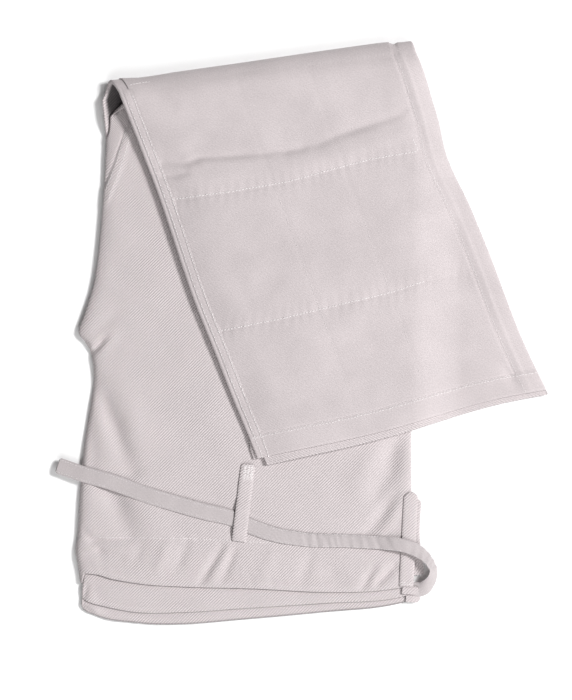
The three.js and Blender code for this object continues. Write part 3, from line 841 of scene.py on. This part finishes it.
def leg_bands(run, s):
    """What the left front's seams and hem add to the folded leg."""
    along = run.at[:, None] * LEG_LENGTH
    from_hem = (1 - run.at[:, None]) * LEG_LENGTH
    from_right = run.width - s
    wander = BAND_WANDER * soft_noise(along, s * 0, 30, 31)
    hem = HEM_HEIGHT * until(from_hem, HEM_BAND + wander, 1.2)
    bands = np.maximum(felled_leg_seam(along, s, wander), hem)
    ridge = RIDGE_HEIGHT * bell(from_right - SIDE_RIDGE - wander, RIDGE_WIDTH)
    ridge = ridge * (1 - 0.4 * (from_hem < HEM_BAND))
    beside = 0.3 * until(from_right, 19.5, 2.2) * smooth(from_right - 14) - 0.5 * until(from_right, 3, 9.5)
    groove = 0.25 * bell(from_hem - HEM_BAND - 1.4, 0.9)
    rows = bell(s - FELLED + 1.6, STITCH_DIMPLE_WIDTH) + bell(from_hem - HEM_BAND + 1.8, STITCH_DIMPLE_WIDTH)
    total = bands + ridge + beside - groove - STITCH_DIMPLE * rows
    return 0.0, np.where(run.on["leg"], total, 0.0)


def casing_bands(run, s):
    """The turned-in casing at the right front's waist, its seam, and the felled leg seam near the knee."""
    x, y = run.flat(s)
    away, _ = off_line(x, y, CASING_SEAM)
    up = y - np.interp(x, *zip(*CASING_EDGE))
    puff = CASING_PUFF * smooth((up - 1) / 4) * until(up, CASING_DEPTH, 6)
    phase = 2 * np.pi * (x + 0.35 * up) / CASING_PUCKER_LENGTH + 2 * soft_noise(x, y, 30, 22)
    fade = np.clip(soft_noise(x, y, 38, 21) + 0.6, 0, 1)
    near = bell(away, 7) + smooth(up / 6) * until(up, 18, 10)
    casing = puff + CASING_PUCKER * np.sin(phase) * fade * near - CASING_SEAM_DEPTH * bell(away, 1.2)
    past, along = off_line(x, y, LEG_SEAM[::-1])
    felled = smooth(past / 0.6) * until(past, LEG_SEAM_WIDTH, 1.0) - LEG_SEAM_GROOVE * bell(past + 0.8, 0.8)
    return casing + felled * smooth((along - 0.1) / 0.18), 0.0


def back_casing(run, s):
    """Ripples in the backs' waists, where the drawstring gathers them."""
    x, y = run.flat(s)
    near_waist = run.on["body"] & (run.at[:, None] < 3)
    phase = 2 * np.pi * x / BACK_RIPPLE_LENGTH + 2.2 * soft_noise(x, y, 34, 41)
    ripple = BACK_RIPPLE * np.sin(phase)
    fade = np.clip(soft_noise(x, y, 60, 42) + 0.55, 0.1, 1)
    total = ripple * fade * smooth((x + 200) / 30) + relief(WAIST_CORNER_FOLDS, x, y)
    return np.where(near_waist, total, 0.0), 0.0


def build_layer(name, layer, run, inset, spacing, extras, rolls, recede=0, lip=0):
    """One layer's sheet. An inner layer recedes from the turn, and an outer one reaches round it."""
    s, h = layer_grid(run, layer, inset, face_nodes(PANEL_WIDTH, *spacing))
    h = h + rolled(run, *rolls)
    reach = turn_reach(run, s) * (recede == 0)
    back = recede * bell(s, INNER_RECEDE_WIDTH)
    points = run.place(s, h, taper_of(run, s), extras(run, s), reach, back, lip)
    # Painted shade in the layer's gaps, where it has any.
    return sheet_object(name, points, run.unfolded(s), shade=layer_shade(run, s, layer))


def make_left_front():
    """Under the body, round the fold and on top of the folded leg."""
    run = Run(body_keys(0, LAST_ROW, 9.0), TURN_KEYS, hem_keys(1, 160))
    rolls = (0, FRONT_HEM_ROLL)
    piece = build_layer("left_front_cloth", "front_left", run, 0.0, LEG_SPACING, leg_bands, rolls, lip=LIP)
    return finish_piece(piece, leg_drill, "drill", "front_left")


def make_left_back():
    """Its hem shows past the left front's, so its sections go on beyond the end."""
    rows = BACK_ROWS["back_left"]
    leg = np.concatenate([np.linspace(0, 1, 80), 1 + np.linspace(0, 1, 12)[1:]])
    run = Run(back_keys(rows), TURN_KEYS, leg, rows, BACK_WAISTS["back_left"], PAST_HEM)
    inset = by_row(run, WAIST_INSET, [(0, 0)], [(0.97, 0), (1, 6)])
    rolls = (WAIST_ROLL, BACK_HEM_ROLL)
    piece = build_layer("left_back_cloth", "back_left", run, inset, BACK_SPACING, back_casing, rolls, lip=LIP)
    return finish_piece(piece, drill, "drill", "back_left")


def make_right_back():
    """It stands for the hidden layers too, because its sheet goes on round the fold and down the leg."""
    rows = BACK_ROWS["back_right"]
    run = Run(back_keys(rows), TURN_KEYS, np.linspace(0, 1, 80), rows, BACK_WAISTS["back_right"])
    inset = by_row(run, WAIST_INSET + INNER_BODY_INSET, INNER_TURN_INSET, INNER_LEG_INSET)
    inner = (BACK_SPACING, back_casing, (WAIST_ROLL, 0), INNER_RECEDE)
    piece = build_layer("right_back_cloth", "back_right", run, inset, *inner)
    return finish_piece(piece, drill, "drill", "back_right", "hidden_layers")


def make_right_front():
    """Face up on the body, then inside the fold and lowest of the folded legs."""
    keys = body_keys(0, LAST_ROW, 2.4)
    run = Run(closer(keys, keys[0] + EDGE_ROLL / ROW_STEP), TURN_KEYS[::2], np.linspace(0, 1, 60))
    inset = by_row(run, INNER_BODY_INSET, INNER_TURN_INSET, INNER_LEG_INSET)
    inner = (BODY_SPACING, casing_bands, (WAIST_ROLL, 0), INNER_RECEDE)
    piece = build_layer("right_front_cloth", "front_right", run, inset, *inner)
    return finish_piece(piece, drill, "drill", "front_right")


layers = {
    "front_left": make_left_front(),
    "back_left": make_left_back(),
    "back_right": make_right_back(),
    "front_right": make_right_front(),
}

# ---- Knee patch ----
LINE_A = [(-124.9, 119.3), (-69.8, 126.7), (-18.5, 135.7), (29.3, 149.2), (59.6, 156.8), (96.8, 162.7)]
LINE_B = [(-84.4, 0.7), (-30.4, 11.3), (26.6, 24.8), (71.6, 35.6), (101.3, 45.7), (131.6, 51.8)]
LONG_LINES = [[(-5, 245), (48, 100), (101, -45.5)], [(-71.6, 240), (-30.2, 125.6), (40, -67)]]
PATCH_LEFT = FELLED - 1.2
PATCH_RIGHT = 20.5
PATCH_ABOVE = 1.08
PATCH_CLOTH = 0.9
QUILT_DEPTH = 0.5
QUILT_HOLLOW = 0.28
QUILT_PUCKER = 0.24
QUILT_PUCKER_LENGTH = 8.5
LONG_LINE_DEPTH = 0.22


def patch_relief(run, s):
    """Quilting lines sunk into the patch, and its own edges, which go down to the seams."""
    x, y = run.flat(s)
    total = 0.07 * soft_noise(x, y, 9, 52)
    for line in (LINE_A, LINE_B):
        away, _ = off_line(x, y, line)
        phase = 2 * np.pi * x / QUILT_PUCKER_LENGTH + 3 * soft_noise(x, y, 26, 51)
        pucker = QUILT_PUCKER * np.sin(phase) * bell(away, 9)
        total += pucker - QUILT_DEPTH * bell(away, 1.7) - QUILT_HOLLOW * bell(away, 8)
    for line in LONG_LINES:
        away, _ = off_line(x, y, line)
        total -= LONG_LINE_DEPTH * bell(away, 1.6)
    from_left = s - s[:, :1]
    from_band = np.where(run.on["leg"], (1 - run.at[:, None]) * LEG_LENGTH - HEM_BAND, 99.0)
    edge = np.minimum(np.minimum(from_left, s[:, -1:] - s), from_band)
    return total - 0.45 * until(edge, 0, 2.2) - 0.9 * until(from_left, 0, 3.2)


def make_patch():
    run = Run([], np.linspace(0.3, 1, 16)[:-1], hem_keys(1 - (HEM_BAND + 0.6) / LEG_LENGTH, 150))
    share = face_nodes(250.0, 2.3, 1.0, 5.0)
    s = PATCH_LEFT + (run.width - PATCH_RIGHT - PATCH_LEFT) * share
    h = LAYER_HEIGHTS["front_left"] * run.stack - PATCH_ABOVE + 0 * s
    points = run.place(s, h, taper_of(run, s), (0.0, patch_relief(run, s)), turn_reach(run, s))
    piece = sheet_object("knee_patch_cloth", points, run.unfolded(s), PATCH_CLOTH)
    return finish_piece(piece, leg_drill, "drill", "knee_patch")


layers["knee_patch"] = make_patch()

# ---- Straps: the two belt loops, their lower ends and the drawstring ----
UP = np.array([0, 0, 1.0])
STRAP_ACROSS = np.array([-1, -0.97, -0.88, -0.66, -0.33, 0, 0.33, 0.66, 0.88, 0.97, 1])
STRAP_RING = np.concatenate([STRAP_ACROSS, STRAP_ACROSS[-2:0:-1]])
STRAP_SIDE = np.concatenate([np.ones(len(STRAP_ACROSS)), -np.ones(len(STRAP_ACROSS) - 2)])
DROP_FROM = 0.08


def rounded_ends(distance, radius):
    """How much a strap narrows near an end with rounded corners."""
    near = np.clip(1 - distance / radius, 0, 0.97)
    return 2 * radius * (1 - np.sqrt(1 - near**2))


def tube_faces(rows, columns):
    """Faces of a closed tube of rings, with both ends capped."""
    faces = []
    for i in range(rows - 1):
        for j in range(columns):
            k = (j + 1) % columns
            faces.append((i * columns + j, i * columns + k, (i + 1) * columns + k, (i + 1) * columns + j))
    faces.append(tuple(range(columns))[::-1])
    faces.append(tuple((rows - 1) * columns + j for j in range(columns)))
    return faces


def strap_object(name, centres, sides, ups, widths, cloth, lift, lengthways=False):
    """A flat folded strip along a line. lift gives the cloth's ripples, in mm, for each point of the ring."""
    across = STRAP_RING * widths[:, None] / 2
    out = 0.5 * cloth * (1 - STRAP_RING**8) * STRAP_SIDE + lift
    points = centres[:, None] + sides[:, None] * across[..., None] + ups[:, None] * out[..., None]
    along = run_along(centres)[:, None] + 0 * across
    across = across + widths[:, None] * (STRAP_SIDE < 0)
    uvs = np.stack([along, across] if lengthways else [across, -along], axis=-1)
    return make_object(name, points * MM, tube_faces(*across.shape), uvs * MM)


def surface_under(pieces):
    """The upper surface of some pieces, as a function that drops a point on it."""
    graph = bpy.context.evaluated_depsgraph_get()
    trees = [BVHTree.FromObject(piece, graph) for piece in pieces]

    def drop(x, y):
        best = None
        for tree in trees:
            hit = tree.ray_cast(Vector((x * MM, y * MM, DROP_FROM)), Vector((0, 0, -1)))
            if hit[0] is not None and (best is None or hit[0].z > best[0].z):
                best = hit
        return None if best is None else (np.array(best[0]) / MM, np.array(best[1]))

    return drop


def moving_mean(values, window):
    padded = np.pad(values, window // 2, mode="edge")
    return np.convolve(padded, np.ones(window) / window, mode="valid")


LOOP_WIDTH = 13.0
LOOP_CLOTH = 1.5
LOOP_STATIONS = 90
on_body = surface_under([layers["front_right"], layers["back_right"], layers["back_left"]])


def loop_floor(line, side):
    """Height of the cloth under a loop, along its middle: the highest under its width."""
    top = []
    for x, y in line:
        hits = [on_body(x + side[0] * off, y + side[1] * off) for off in (-LOOP_WIDTH / 2, 0, LOOP_WIDTH / 2)]
        top.append(max(hit[0][2] if hit else 8.0 for hit in hits))
    return moving_mean(top, 9)


def make_loop(name, node_name, start, end, rounding, stand_off, over=0.0, crossing=0.5):
    """A belt loop: sewn flat at both ends, and standing over what passes under it."""
    t = np.linspace(0, 1, LOOP_STATIONS)
    start, end = np.array(start, float), np.array(end, float)
    line = lerp(start, end, t[:, None]) - MIDDLE
    length = np.linalg.norm(end - start)
    ahead = unit(end - start)
    side = np.array([-ahead[1], ahead[0], 0])
    arch = over * until(np.abs(t - crossing), 0.13, 0.17)
    centres = np.column_stack([line, loop_floor(line, side) + 0.15 + LOOP_CLOTH / 2 + arch])
    from_end = np.minimum(t, 1 - t) * length
    widths = LOOP_WIDTH * (1 - 0.04 * until(from_end, 0, 2.5)) - rounded_ends(t * length, rounding)
    ripple = 0.1 * soft_noise(t[:, None] * 70, STRAP_RING[None, :] * 6, 7, 61)
    tilt = stand_off * smooth(from_end / 8)[:, None] * STRAP_RING
    cup = -0.25 * np.abs(STRAP_RING) ** 3
    sides, ups = (np.broadcast_to(v, (LOOP_STATIONS, 3)) for v in (side, UP))
    piece = strap_object(name, centres, sides, ups, widths, LOOP_CLOTH, ripple + tilt + cup)
    return finish_piece(piece, drill, "trim", node_name)


loops = [
    make_loop("front_loop", "loop_front", (-56, -118.5), (-64.5, -188), 2.0, -0.35, over=2.3, crossing=0.72),
    make_loop("side_loop", "loop_side", (90.5, -143.6), (86, -228.6), 6.0, -0.3),
]
STRIP_CLOTH = 1.2
STRIP_STATIONS = 48


def make_strip(name, points, width, rounding_start, rounding_end):
    """A flat strip through points of x, y and z, with rounded corners at its ends."""
    points = np.array(points, float)
    knots = run_along(points)
    at = knots[-1] * (0.5 - 0.5 * np.cos(np.linspace(0, np.pi, STRIP_STATIONS)))
    centres = hermite(knots, points, at)
    centres[:, :2] -= MIDDLE
    ahead = unit(np.gradient(centres, axis=0))
    sides = unit(np.cross(UP, ahead))
    ups = np.cross(ahead, sides)
    widths = width - rounded_ends(at, rounding_start) - rounded_ends(knots[-1] - at, rounding_end)
    ripple = 0.12 * soft_noise(at[:, None], STRAP_RING[None, :] * 6, 7, 62)
    lengthways = abs(ahead[0, 0]) > abs(ahead[0, 1])
    piece = strap_object(name, centres, sides, ups, widths, STRIP_CLOTH, ripple, lengthways)
    return finish_piece(piece, drill, "trim")


UPPER_END = [(82.6, -231.4, 8.4), (90, -231.9, 8.4), (97.2, -232.4, 8.0)]
LOWER_END = [(86, -239.0, 5.6), (92, -239.2, 5.2), (98.6, -239.4, 3.6)]
UNDER_LOOP = [(93.6, -150, 5.2), (91.9, -184, 5.0), (95.8, -218.2, 4.6)]
make_strip("side_loop_end_upper", UPPER_END, 7.6, 0.6, 3.0)
make_strip("side_loop_end_lower", LOWER_END, 7.4, 0.6, 3.2)
make_strip("under_side_loop", UNDER_LOOP, LOOP_WIDTH, 4.0, 0.5)

# The drawstring's middle, from its free end to where it goes into the casing: x, y, z and tilt in degrees.
TAPE_ROUTE = np.array(
    [
        (-228, -119.5, 8.6, 0),
        (-206, -127, 10.2, 0),
        (-180, -134.3, 10.3, 0),
        (-146, -146.5, 10.2, 0),
        (-117.5, -155, 10.2, 0),
        (-94, -161.5, 10.2, 0),
        (-70, -167.2, 10.2, 0),
        (-55, -174, 10.2, 0),
        (-31, -182, 10.6, 0),
        (-2.5, -186.5, 10.8, 4),
        (34.5, -187.5, 12, 10),
        (68, -189.5, 13.6, 14),
        (82, -191, 14.8, 18),
        (97, -196.5, 14.2, 32),
        (107.5, -206, 12.8, 56),
        (111, -215, 11, 60),
        (108, -224, 8.6, 44),
        (101, -230.5, 6.6, 16),
        (90.5, -231.5, 5.6, 4),
    ]
)
TAPE_CLOTH = 1.3
TAPE_STATIONS = 320
TAPE_WIDTHS = [(0, 14.6), (150, 14.6), (190, 13.5), (230, 12.4), (300, 11.6), (330, 12.5), (400, 13.5)]
TAPE_CRUMPLES_FROM = 205


def tape_line():
    """Distances along the tape, its middle, and the directions across it and out of it."""
    knots = run_along(TAPE_ROUTE[:, :3])
    at = np.linspace(0, knots[-1], TAPE_STATIONS)
    route = hermite(knots, TAPE_ROUTE, at)
    route[:, :2] -= MIDDLE
    ahead = unit(np.gradient(route[:, :3], axis=0))
    level = unit(np.cross(UP, ahead))
    tilt = -np.radians(route[:, 3:4])
    side = level * np.cos(tilt) + np.cross(ahead, level) * np.sin(tilt)
    return at, route[:, :3], side, np.cross(ahead, side)


def lay_on_body(centres):
    """The tape's middle, raised where the body's folds would come through it."""
    floor = []
    for x, y, z in centres:
        hits = [on_body(x, y + off) for off in (-6, -3, 0, 3, 6)]
        floor.append(max([hit[0][2] + 0.55 for hit in hits if hit] + [z - 2.5]))
    over_body = 1 - smooth((centres[:, 0] - 60) / 15)
    raised = lerp(centres[:, 2], moving_mean(floor, 15) + TAPE_CLOTH / 2, over_body)
    return np.column_stack([centres[:, :2], raised])


def tape_ripples(at):
    """The tape's crown and bumps, and past the front loop the ripples of a tape that was pulled."""
    at, u = at[:, None], STRAP_RING[None, :]
    crumpled = smooth((at - TAPE_CRUMPLES_FROM) / 40)
    uneven = np.clip(0.7 + 0.9 * soft_noise(at, u * 5, 16, 74), 0.15, 1.1)
    wave = uneven * np.sin(2 * np.pi * at / 8.4 + 1.7 * u + 3.6 * soft_noise(at, u * 8, 15, 71))
    lift = 0.17 * soft_noise(at, u * 7, 7, 72) - 0.3 * u**2 + crumpled * (0.34 * wave + 0.5 * u)
    return lift + 0.35 * soft_noise(at, 0 * u, 42, 73)


def make_tape():
    at, centres, side, up = tape_line()
    centres = lay_on_body(centres)
    widths = np.interp(at, *zip(*TAPE_WIDTHS)) - rounded_ends(at, 2.4)
    piece = strap_object("drawstring_tape", centres, side, up, widths, TAPE_CLOTH, tape_ripples(at), True)
    finish_piece(piece, tape_cloth, "tape", "drawstring")
    return piece


tape = make_tape()

# ---- Stitching ----
# A stitch's rings: place along it, size and rise out of the cloth.
STITCH_RINGS = [
    (-0.5, 0.45, -0.55), (-0.36, 0.9, 0.0), (0.0, 1.0, 0.35), (0.36, 0.9, 0.0), (0.5, 0.45, -0.55),
]
STITCH_SIDES = 5
STITCH_RISE = 0.1


class Stitches:
    """Many short stitches in one mesh. Each is a rounded thread that dips into the cloth at both ends."""

    def __init__(self, seed):
        self.random = np.random.default_rng(seed)
        self.points = []
        self.faces = []
        self.uvs = []

    def add(self, centre, ahead, normal, length, radius):
        side = np.cross(normal, ahead)
        first = len(self.points)
        for t, r, lift in STITCH_RINGS:
            middle = centre + ahead * t * length + normal * lift * radius
            for k in range(STITCH_SIDES):
                a = 2 * np.pi * k / STITCH_SIDES
                self.points.append((middle + (side * np.cos(a) + normal * np.sin(a)) * r * radius) * MM)
                self.uvs.append(np.array([k * radius, t * length]) * MM)
        for face in tube_faces(len(STITCH_RINGS), STITCH_SIDES):
            self.faces.append(tuple(first + k for k in face))

    def sew(self, drop, line, pitch, length, radius, gap_chance=0.0, shaky=1.0):
        """Stitches along a line of x and y in drawing mm, dropped on a surface."""
        line = np.asarray(line, float) - MIDDLE
        run = run_along(line)

        def at(distance):
            return np.array([np.interp(distance, run, line[:, k]) for k in (0, 1)])

        for d in np.arange(pitch / 2, run[-1], pitch):
            jitter = self.random.normal(0, 1, 4)
            skip = self.random.random() < gap_chance
            ahead = unit(at(d + 1.0) - at(d - 1.0))
            across = np.array([-ahead[1], ahead[0]])
            hit = drop(*(at(d + 0.2 * jitter[0]) + across * 0.13 * jitter[1] * shaky))
            if skip or hit is None:
                continue
            place, normal = hit
            normal = normal if normal[2] > 0 else -normal
            ahead = np.append(unit(ahead + across * 0.08 * jitter[2] * shaky), 0.0)
            ahead = unit(ahead - normal * (ahead @ normal))
            self.add(place + normal * STITCH_RISE, ahead, normal, length * (1 + 0.12 * jitter[3]), radius)

    def make(self, name):
        finish_piece(make_object(name, self.points, self.faces, self.uvs), thread_cloth, "trim")


def leg_line(from_left=None, from_right=None, start=0.012, count=120):
    """A line along the folded leg, at a distance from its left or right edge."""
    run = Run([], [], np.linspace(start, 1.0, count))
    s = np.full((count, 1), from_left) if from_left is not None else run.width - from_right
    return np.column_stack([values[:, 0] for values in run.flat(s)])


def hem_line(from_hem, start=1.5, stop=1.5, count=90):
    """A line across the folded leg at a distance from its hem."""
    run = Run([], [], [1 - from_hem / LEG_LENGTH])
    s = np.linspace(start, run.width[0, 0] - stop, count)[None, :]
    return np.column_stack([values[0] for values in run.flat(s)])


def sew_leg():
    """Each row is a line, and its stitches' pitch, length, radius and chance of a gap."""
    drop = surface_under([layers["front_left"], layers["knee_patch"]])
    sewing = Stitches(101)
    for line, *stitch in (
        (LINE_A, 3.0, 2.2, 0.36),
        (LINE_B[:5], 3.0, 2.2, 0.36),
        (leg_line(FELLED - 0.2), 2.9, 2.1, 0.31, 0.04),
        (leg_line(4.4, start=0.03), 2.9, 2.1, 0.29, 0.04),
        (leg_line(from_right=18.6), 2.9, 2.0, 0.2, 0.06),
        (hem_line(HEM_BAND - 1.8), 2.9, 2.1, 0.24),
        (hem_line(HEM_BAND - 0.2, 14, 20), 3.0, 1.9, 0.16, 0.2),
        ([(-163, 222.6), (-145, 225.4)], 2.8, 2.2, 0.3),
        ([(96.5, 163.5), (92, 173.5)], 2.4, 1.8, 0.24),
        (LONG_LINES[0][1:], 3.1, 1.9, 0.13, 0.3),
        (LONG_LINES[1][1:], 3.1, 1.9, 0.13, 0.3),
    ):
        sewing.sew(drop, line, *stitch)
    sewing.make("leg_stitching")


def sew_body():
    """The casing's seam and the two rows of the felled leg seam."""
    sewing = Stitches(102)
    sewing.sew(on_body, [(x, y + 0.4) for x, y in CASING_SEAM[1:-1]], 3.0, 2.1, 0.22, 0.04)
    for offset in (1.4, 6.4):
        line = [(x + offset, y - 0.25 * offset) for x, y in LEG_SEAM[:-1]]
        sewing.sew(on_body, line, 2.9, 2.0, 0.2, 0.08)
    sewing.make("body_stitching")


def sew_tape():
    """A row along each edge of the tape, up to where it turns over."""
    drop = surface_under([tape])
    sewing = Stitches(104)
    middle = TAPE_ROUTE[:13, :2]
    ahead = unit(np.gradient(middle, axis=0))
    across = np.column_stack([-ahead[:, 1], ahead[:, 0]])
    for offset in (5.4, -5.4):
        sewing.sew(drop, middle + across * offset, 2.4, 1.5, 0.17, 0.1)
    sewing.make("tape_stitching")


BAR_TACK_TOP = (-55.6, -119.6)
BAR_TACK_HALF = 4.8
BAR_TACK_PITCH = 0.85
BAR_TACK_ROWS = 15
LOOP_SLANT = 0.12
LOOP_END_ROWS = ((78.5, 91.5, -187.2), (78.3, 91.2, -226.5), (78.3, 91.2, -225))


def sew_loops():
    """A close zigzag at the front loop's top, and rows across the lower ends of both."""
    drop = surface_under(loops)
    sewing = Stitches(103)
    for row in range(BAR_TACK_ROWS):
        down = row * BAR_TACK_PITCH
        x, y = BAR_TACK_TOP[0] - LOOP_SLANT * down, BAR_TACK_TOP[1] - down
        half = BAR_TACK_HALF if row % 2 else -BAR_TACK_HALF
        sewing.sew(drop, [(x - half, y), (x + half, y - BAR_TACK_PITCH)], 3.2, 2.9, 0.24, 0.0, 2.0)
    for low_x, high_x, y in LOOP_END_ROWS:
        sewing.sew(drop, [(low_x, y), (high_x, y)], 2.4, 2.0, 0.2)
    sewing.make("loop_stitching")


sew_leg()
sew_body()
sew_tape()
sew_loops()

# ---- Floor, light and camera, in metres ----
FLOOR_HALF = 4.0
FLOOR_DROP = 0.0002
FLOOR_COLOUR = (0.97, 0.97, 0.97, 1)
WORLD_STRENGTH = 0.07
LAMPS = [("key", (2.15, 0.6, 2.75), 0.8, 129.0), ("top", (0.4, -2.15, 2.3), 2.8, 74.0)]
PIXEL_MM = 0.9
VIEW_CENTRE_PX = (286.0, 350.0)
GARMENT_CENTRE_PX = (310.5, 332.5)
FRAME_WIDTH_PX = 572
CAMERA_DISTANCE = 3.0
CAMERA_ELEVATION = 88.5
TARGET_HEIGHT = 0.012


def make_stage():
    mesh = bpy.data.meshes.new("floor")
    corners = [(-1, -1), (1, -1), (1, 1), (-1, 1)]
    mesh.from_pydata([(x * FLOOR_HALF, y * FLOOR_HALF, 0) for x, y in corners], [], [(0, 1, 2, 3)])
    floor = bpy.data.objects.new("floor", mesh)
    floor.location.z = -FLOOR_DROP
    bpy.context.collection.objects.link(floor)
    paint = bpy.data.materials.new("floor paint")
    paint.use_nodes = True
    shader = paint.node_tree.nodes["Principled BSDF"]
    shader.inputs["Base Color"].default_value = FLOOR_COLOUR
    shader.inputs["Roughness"].default_value = 0.9
    shader.inputs["Specular IOR Level"].default_value = 0.1
    floor.data.materials.append(paint)


def make_light():
    world = bpy.data.worlds.new("studio")
    world.use_nodes = True
    background = world.node_tree.nodes["Background"]
    background.inputs[0].default_value = (1, 1, 1, 1)
    background.inputs[1].default_value = WORLD_STRENGTH
    bpy.context.scene.world = world
    for name, place, size, power in LAMPS:
        lamp = bpy.data.lights.new(name, "AREA")
        lamp.size = size
        lamp.energy = power
        light = bpy.data.objects.new(name, lamp)
        light.location = place
        light.rotation_euler = (-Vector(place)).to_track_quat("-Z", "Y").to_euler()
        bpy.context.collection.objects.link(light)


def make_camera():
    data = bpy.data.cameras.new("camera")
    data.sensor_fit = "HORIZONTAL"
    data.sensor_width = 36.0
    data.lens = data.sensor_width * CAMERA_DISTANCE / (FRAME_WIDTH_PX * PIXEL_MM * MM)
    camera = bpy.data.objects.new("camera", data)
    x = (VIEW_CENTRE_PX[0] - GARMENT_CENTRE_PX[0]) * PIXEL_MM - MIDDLE[0]
    y = (GARMENT_CENTRE_PX[1] - VIEW_CENTRE_PX[1]) * PIXEL_MM - MIDDLE[1]
    target = Vector((x * MM, y * MM, TARGET_HEIGHT))
    up = math.radians(CAMERA_ELEVATION)
    camera.location = target + CAMERA_DISTANCE * Vector((0, -math.cos(up), math.sin(up)))
    camera.rotation_euler = (math.radians(90) - up, 0, 0)
    bpy.context.collection.objects.link(camera)
    bpy.context.scene.camera = camera


make_stage()
make_light()
make_camera()
bpy.context.scene.view_settings.view_transform = "Standard"
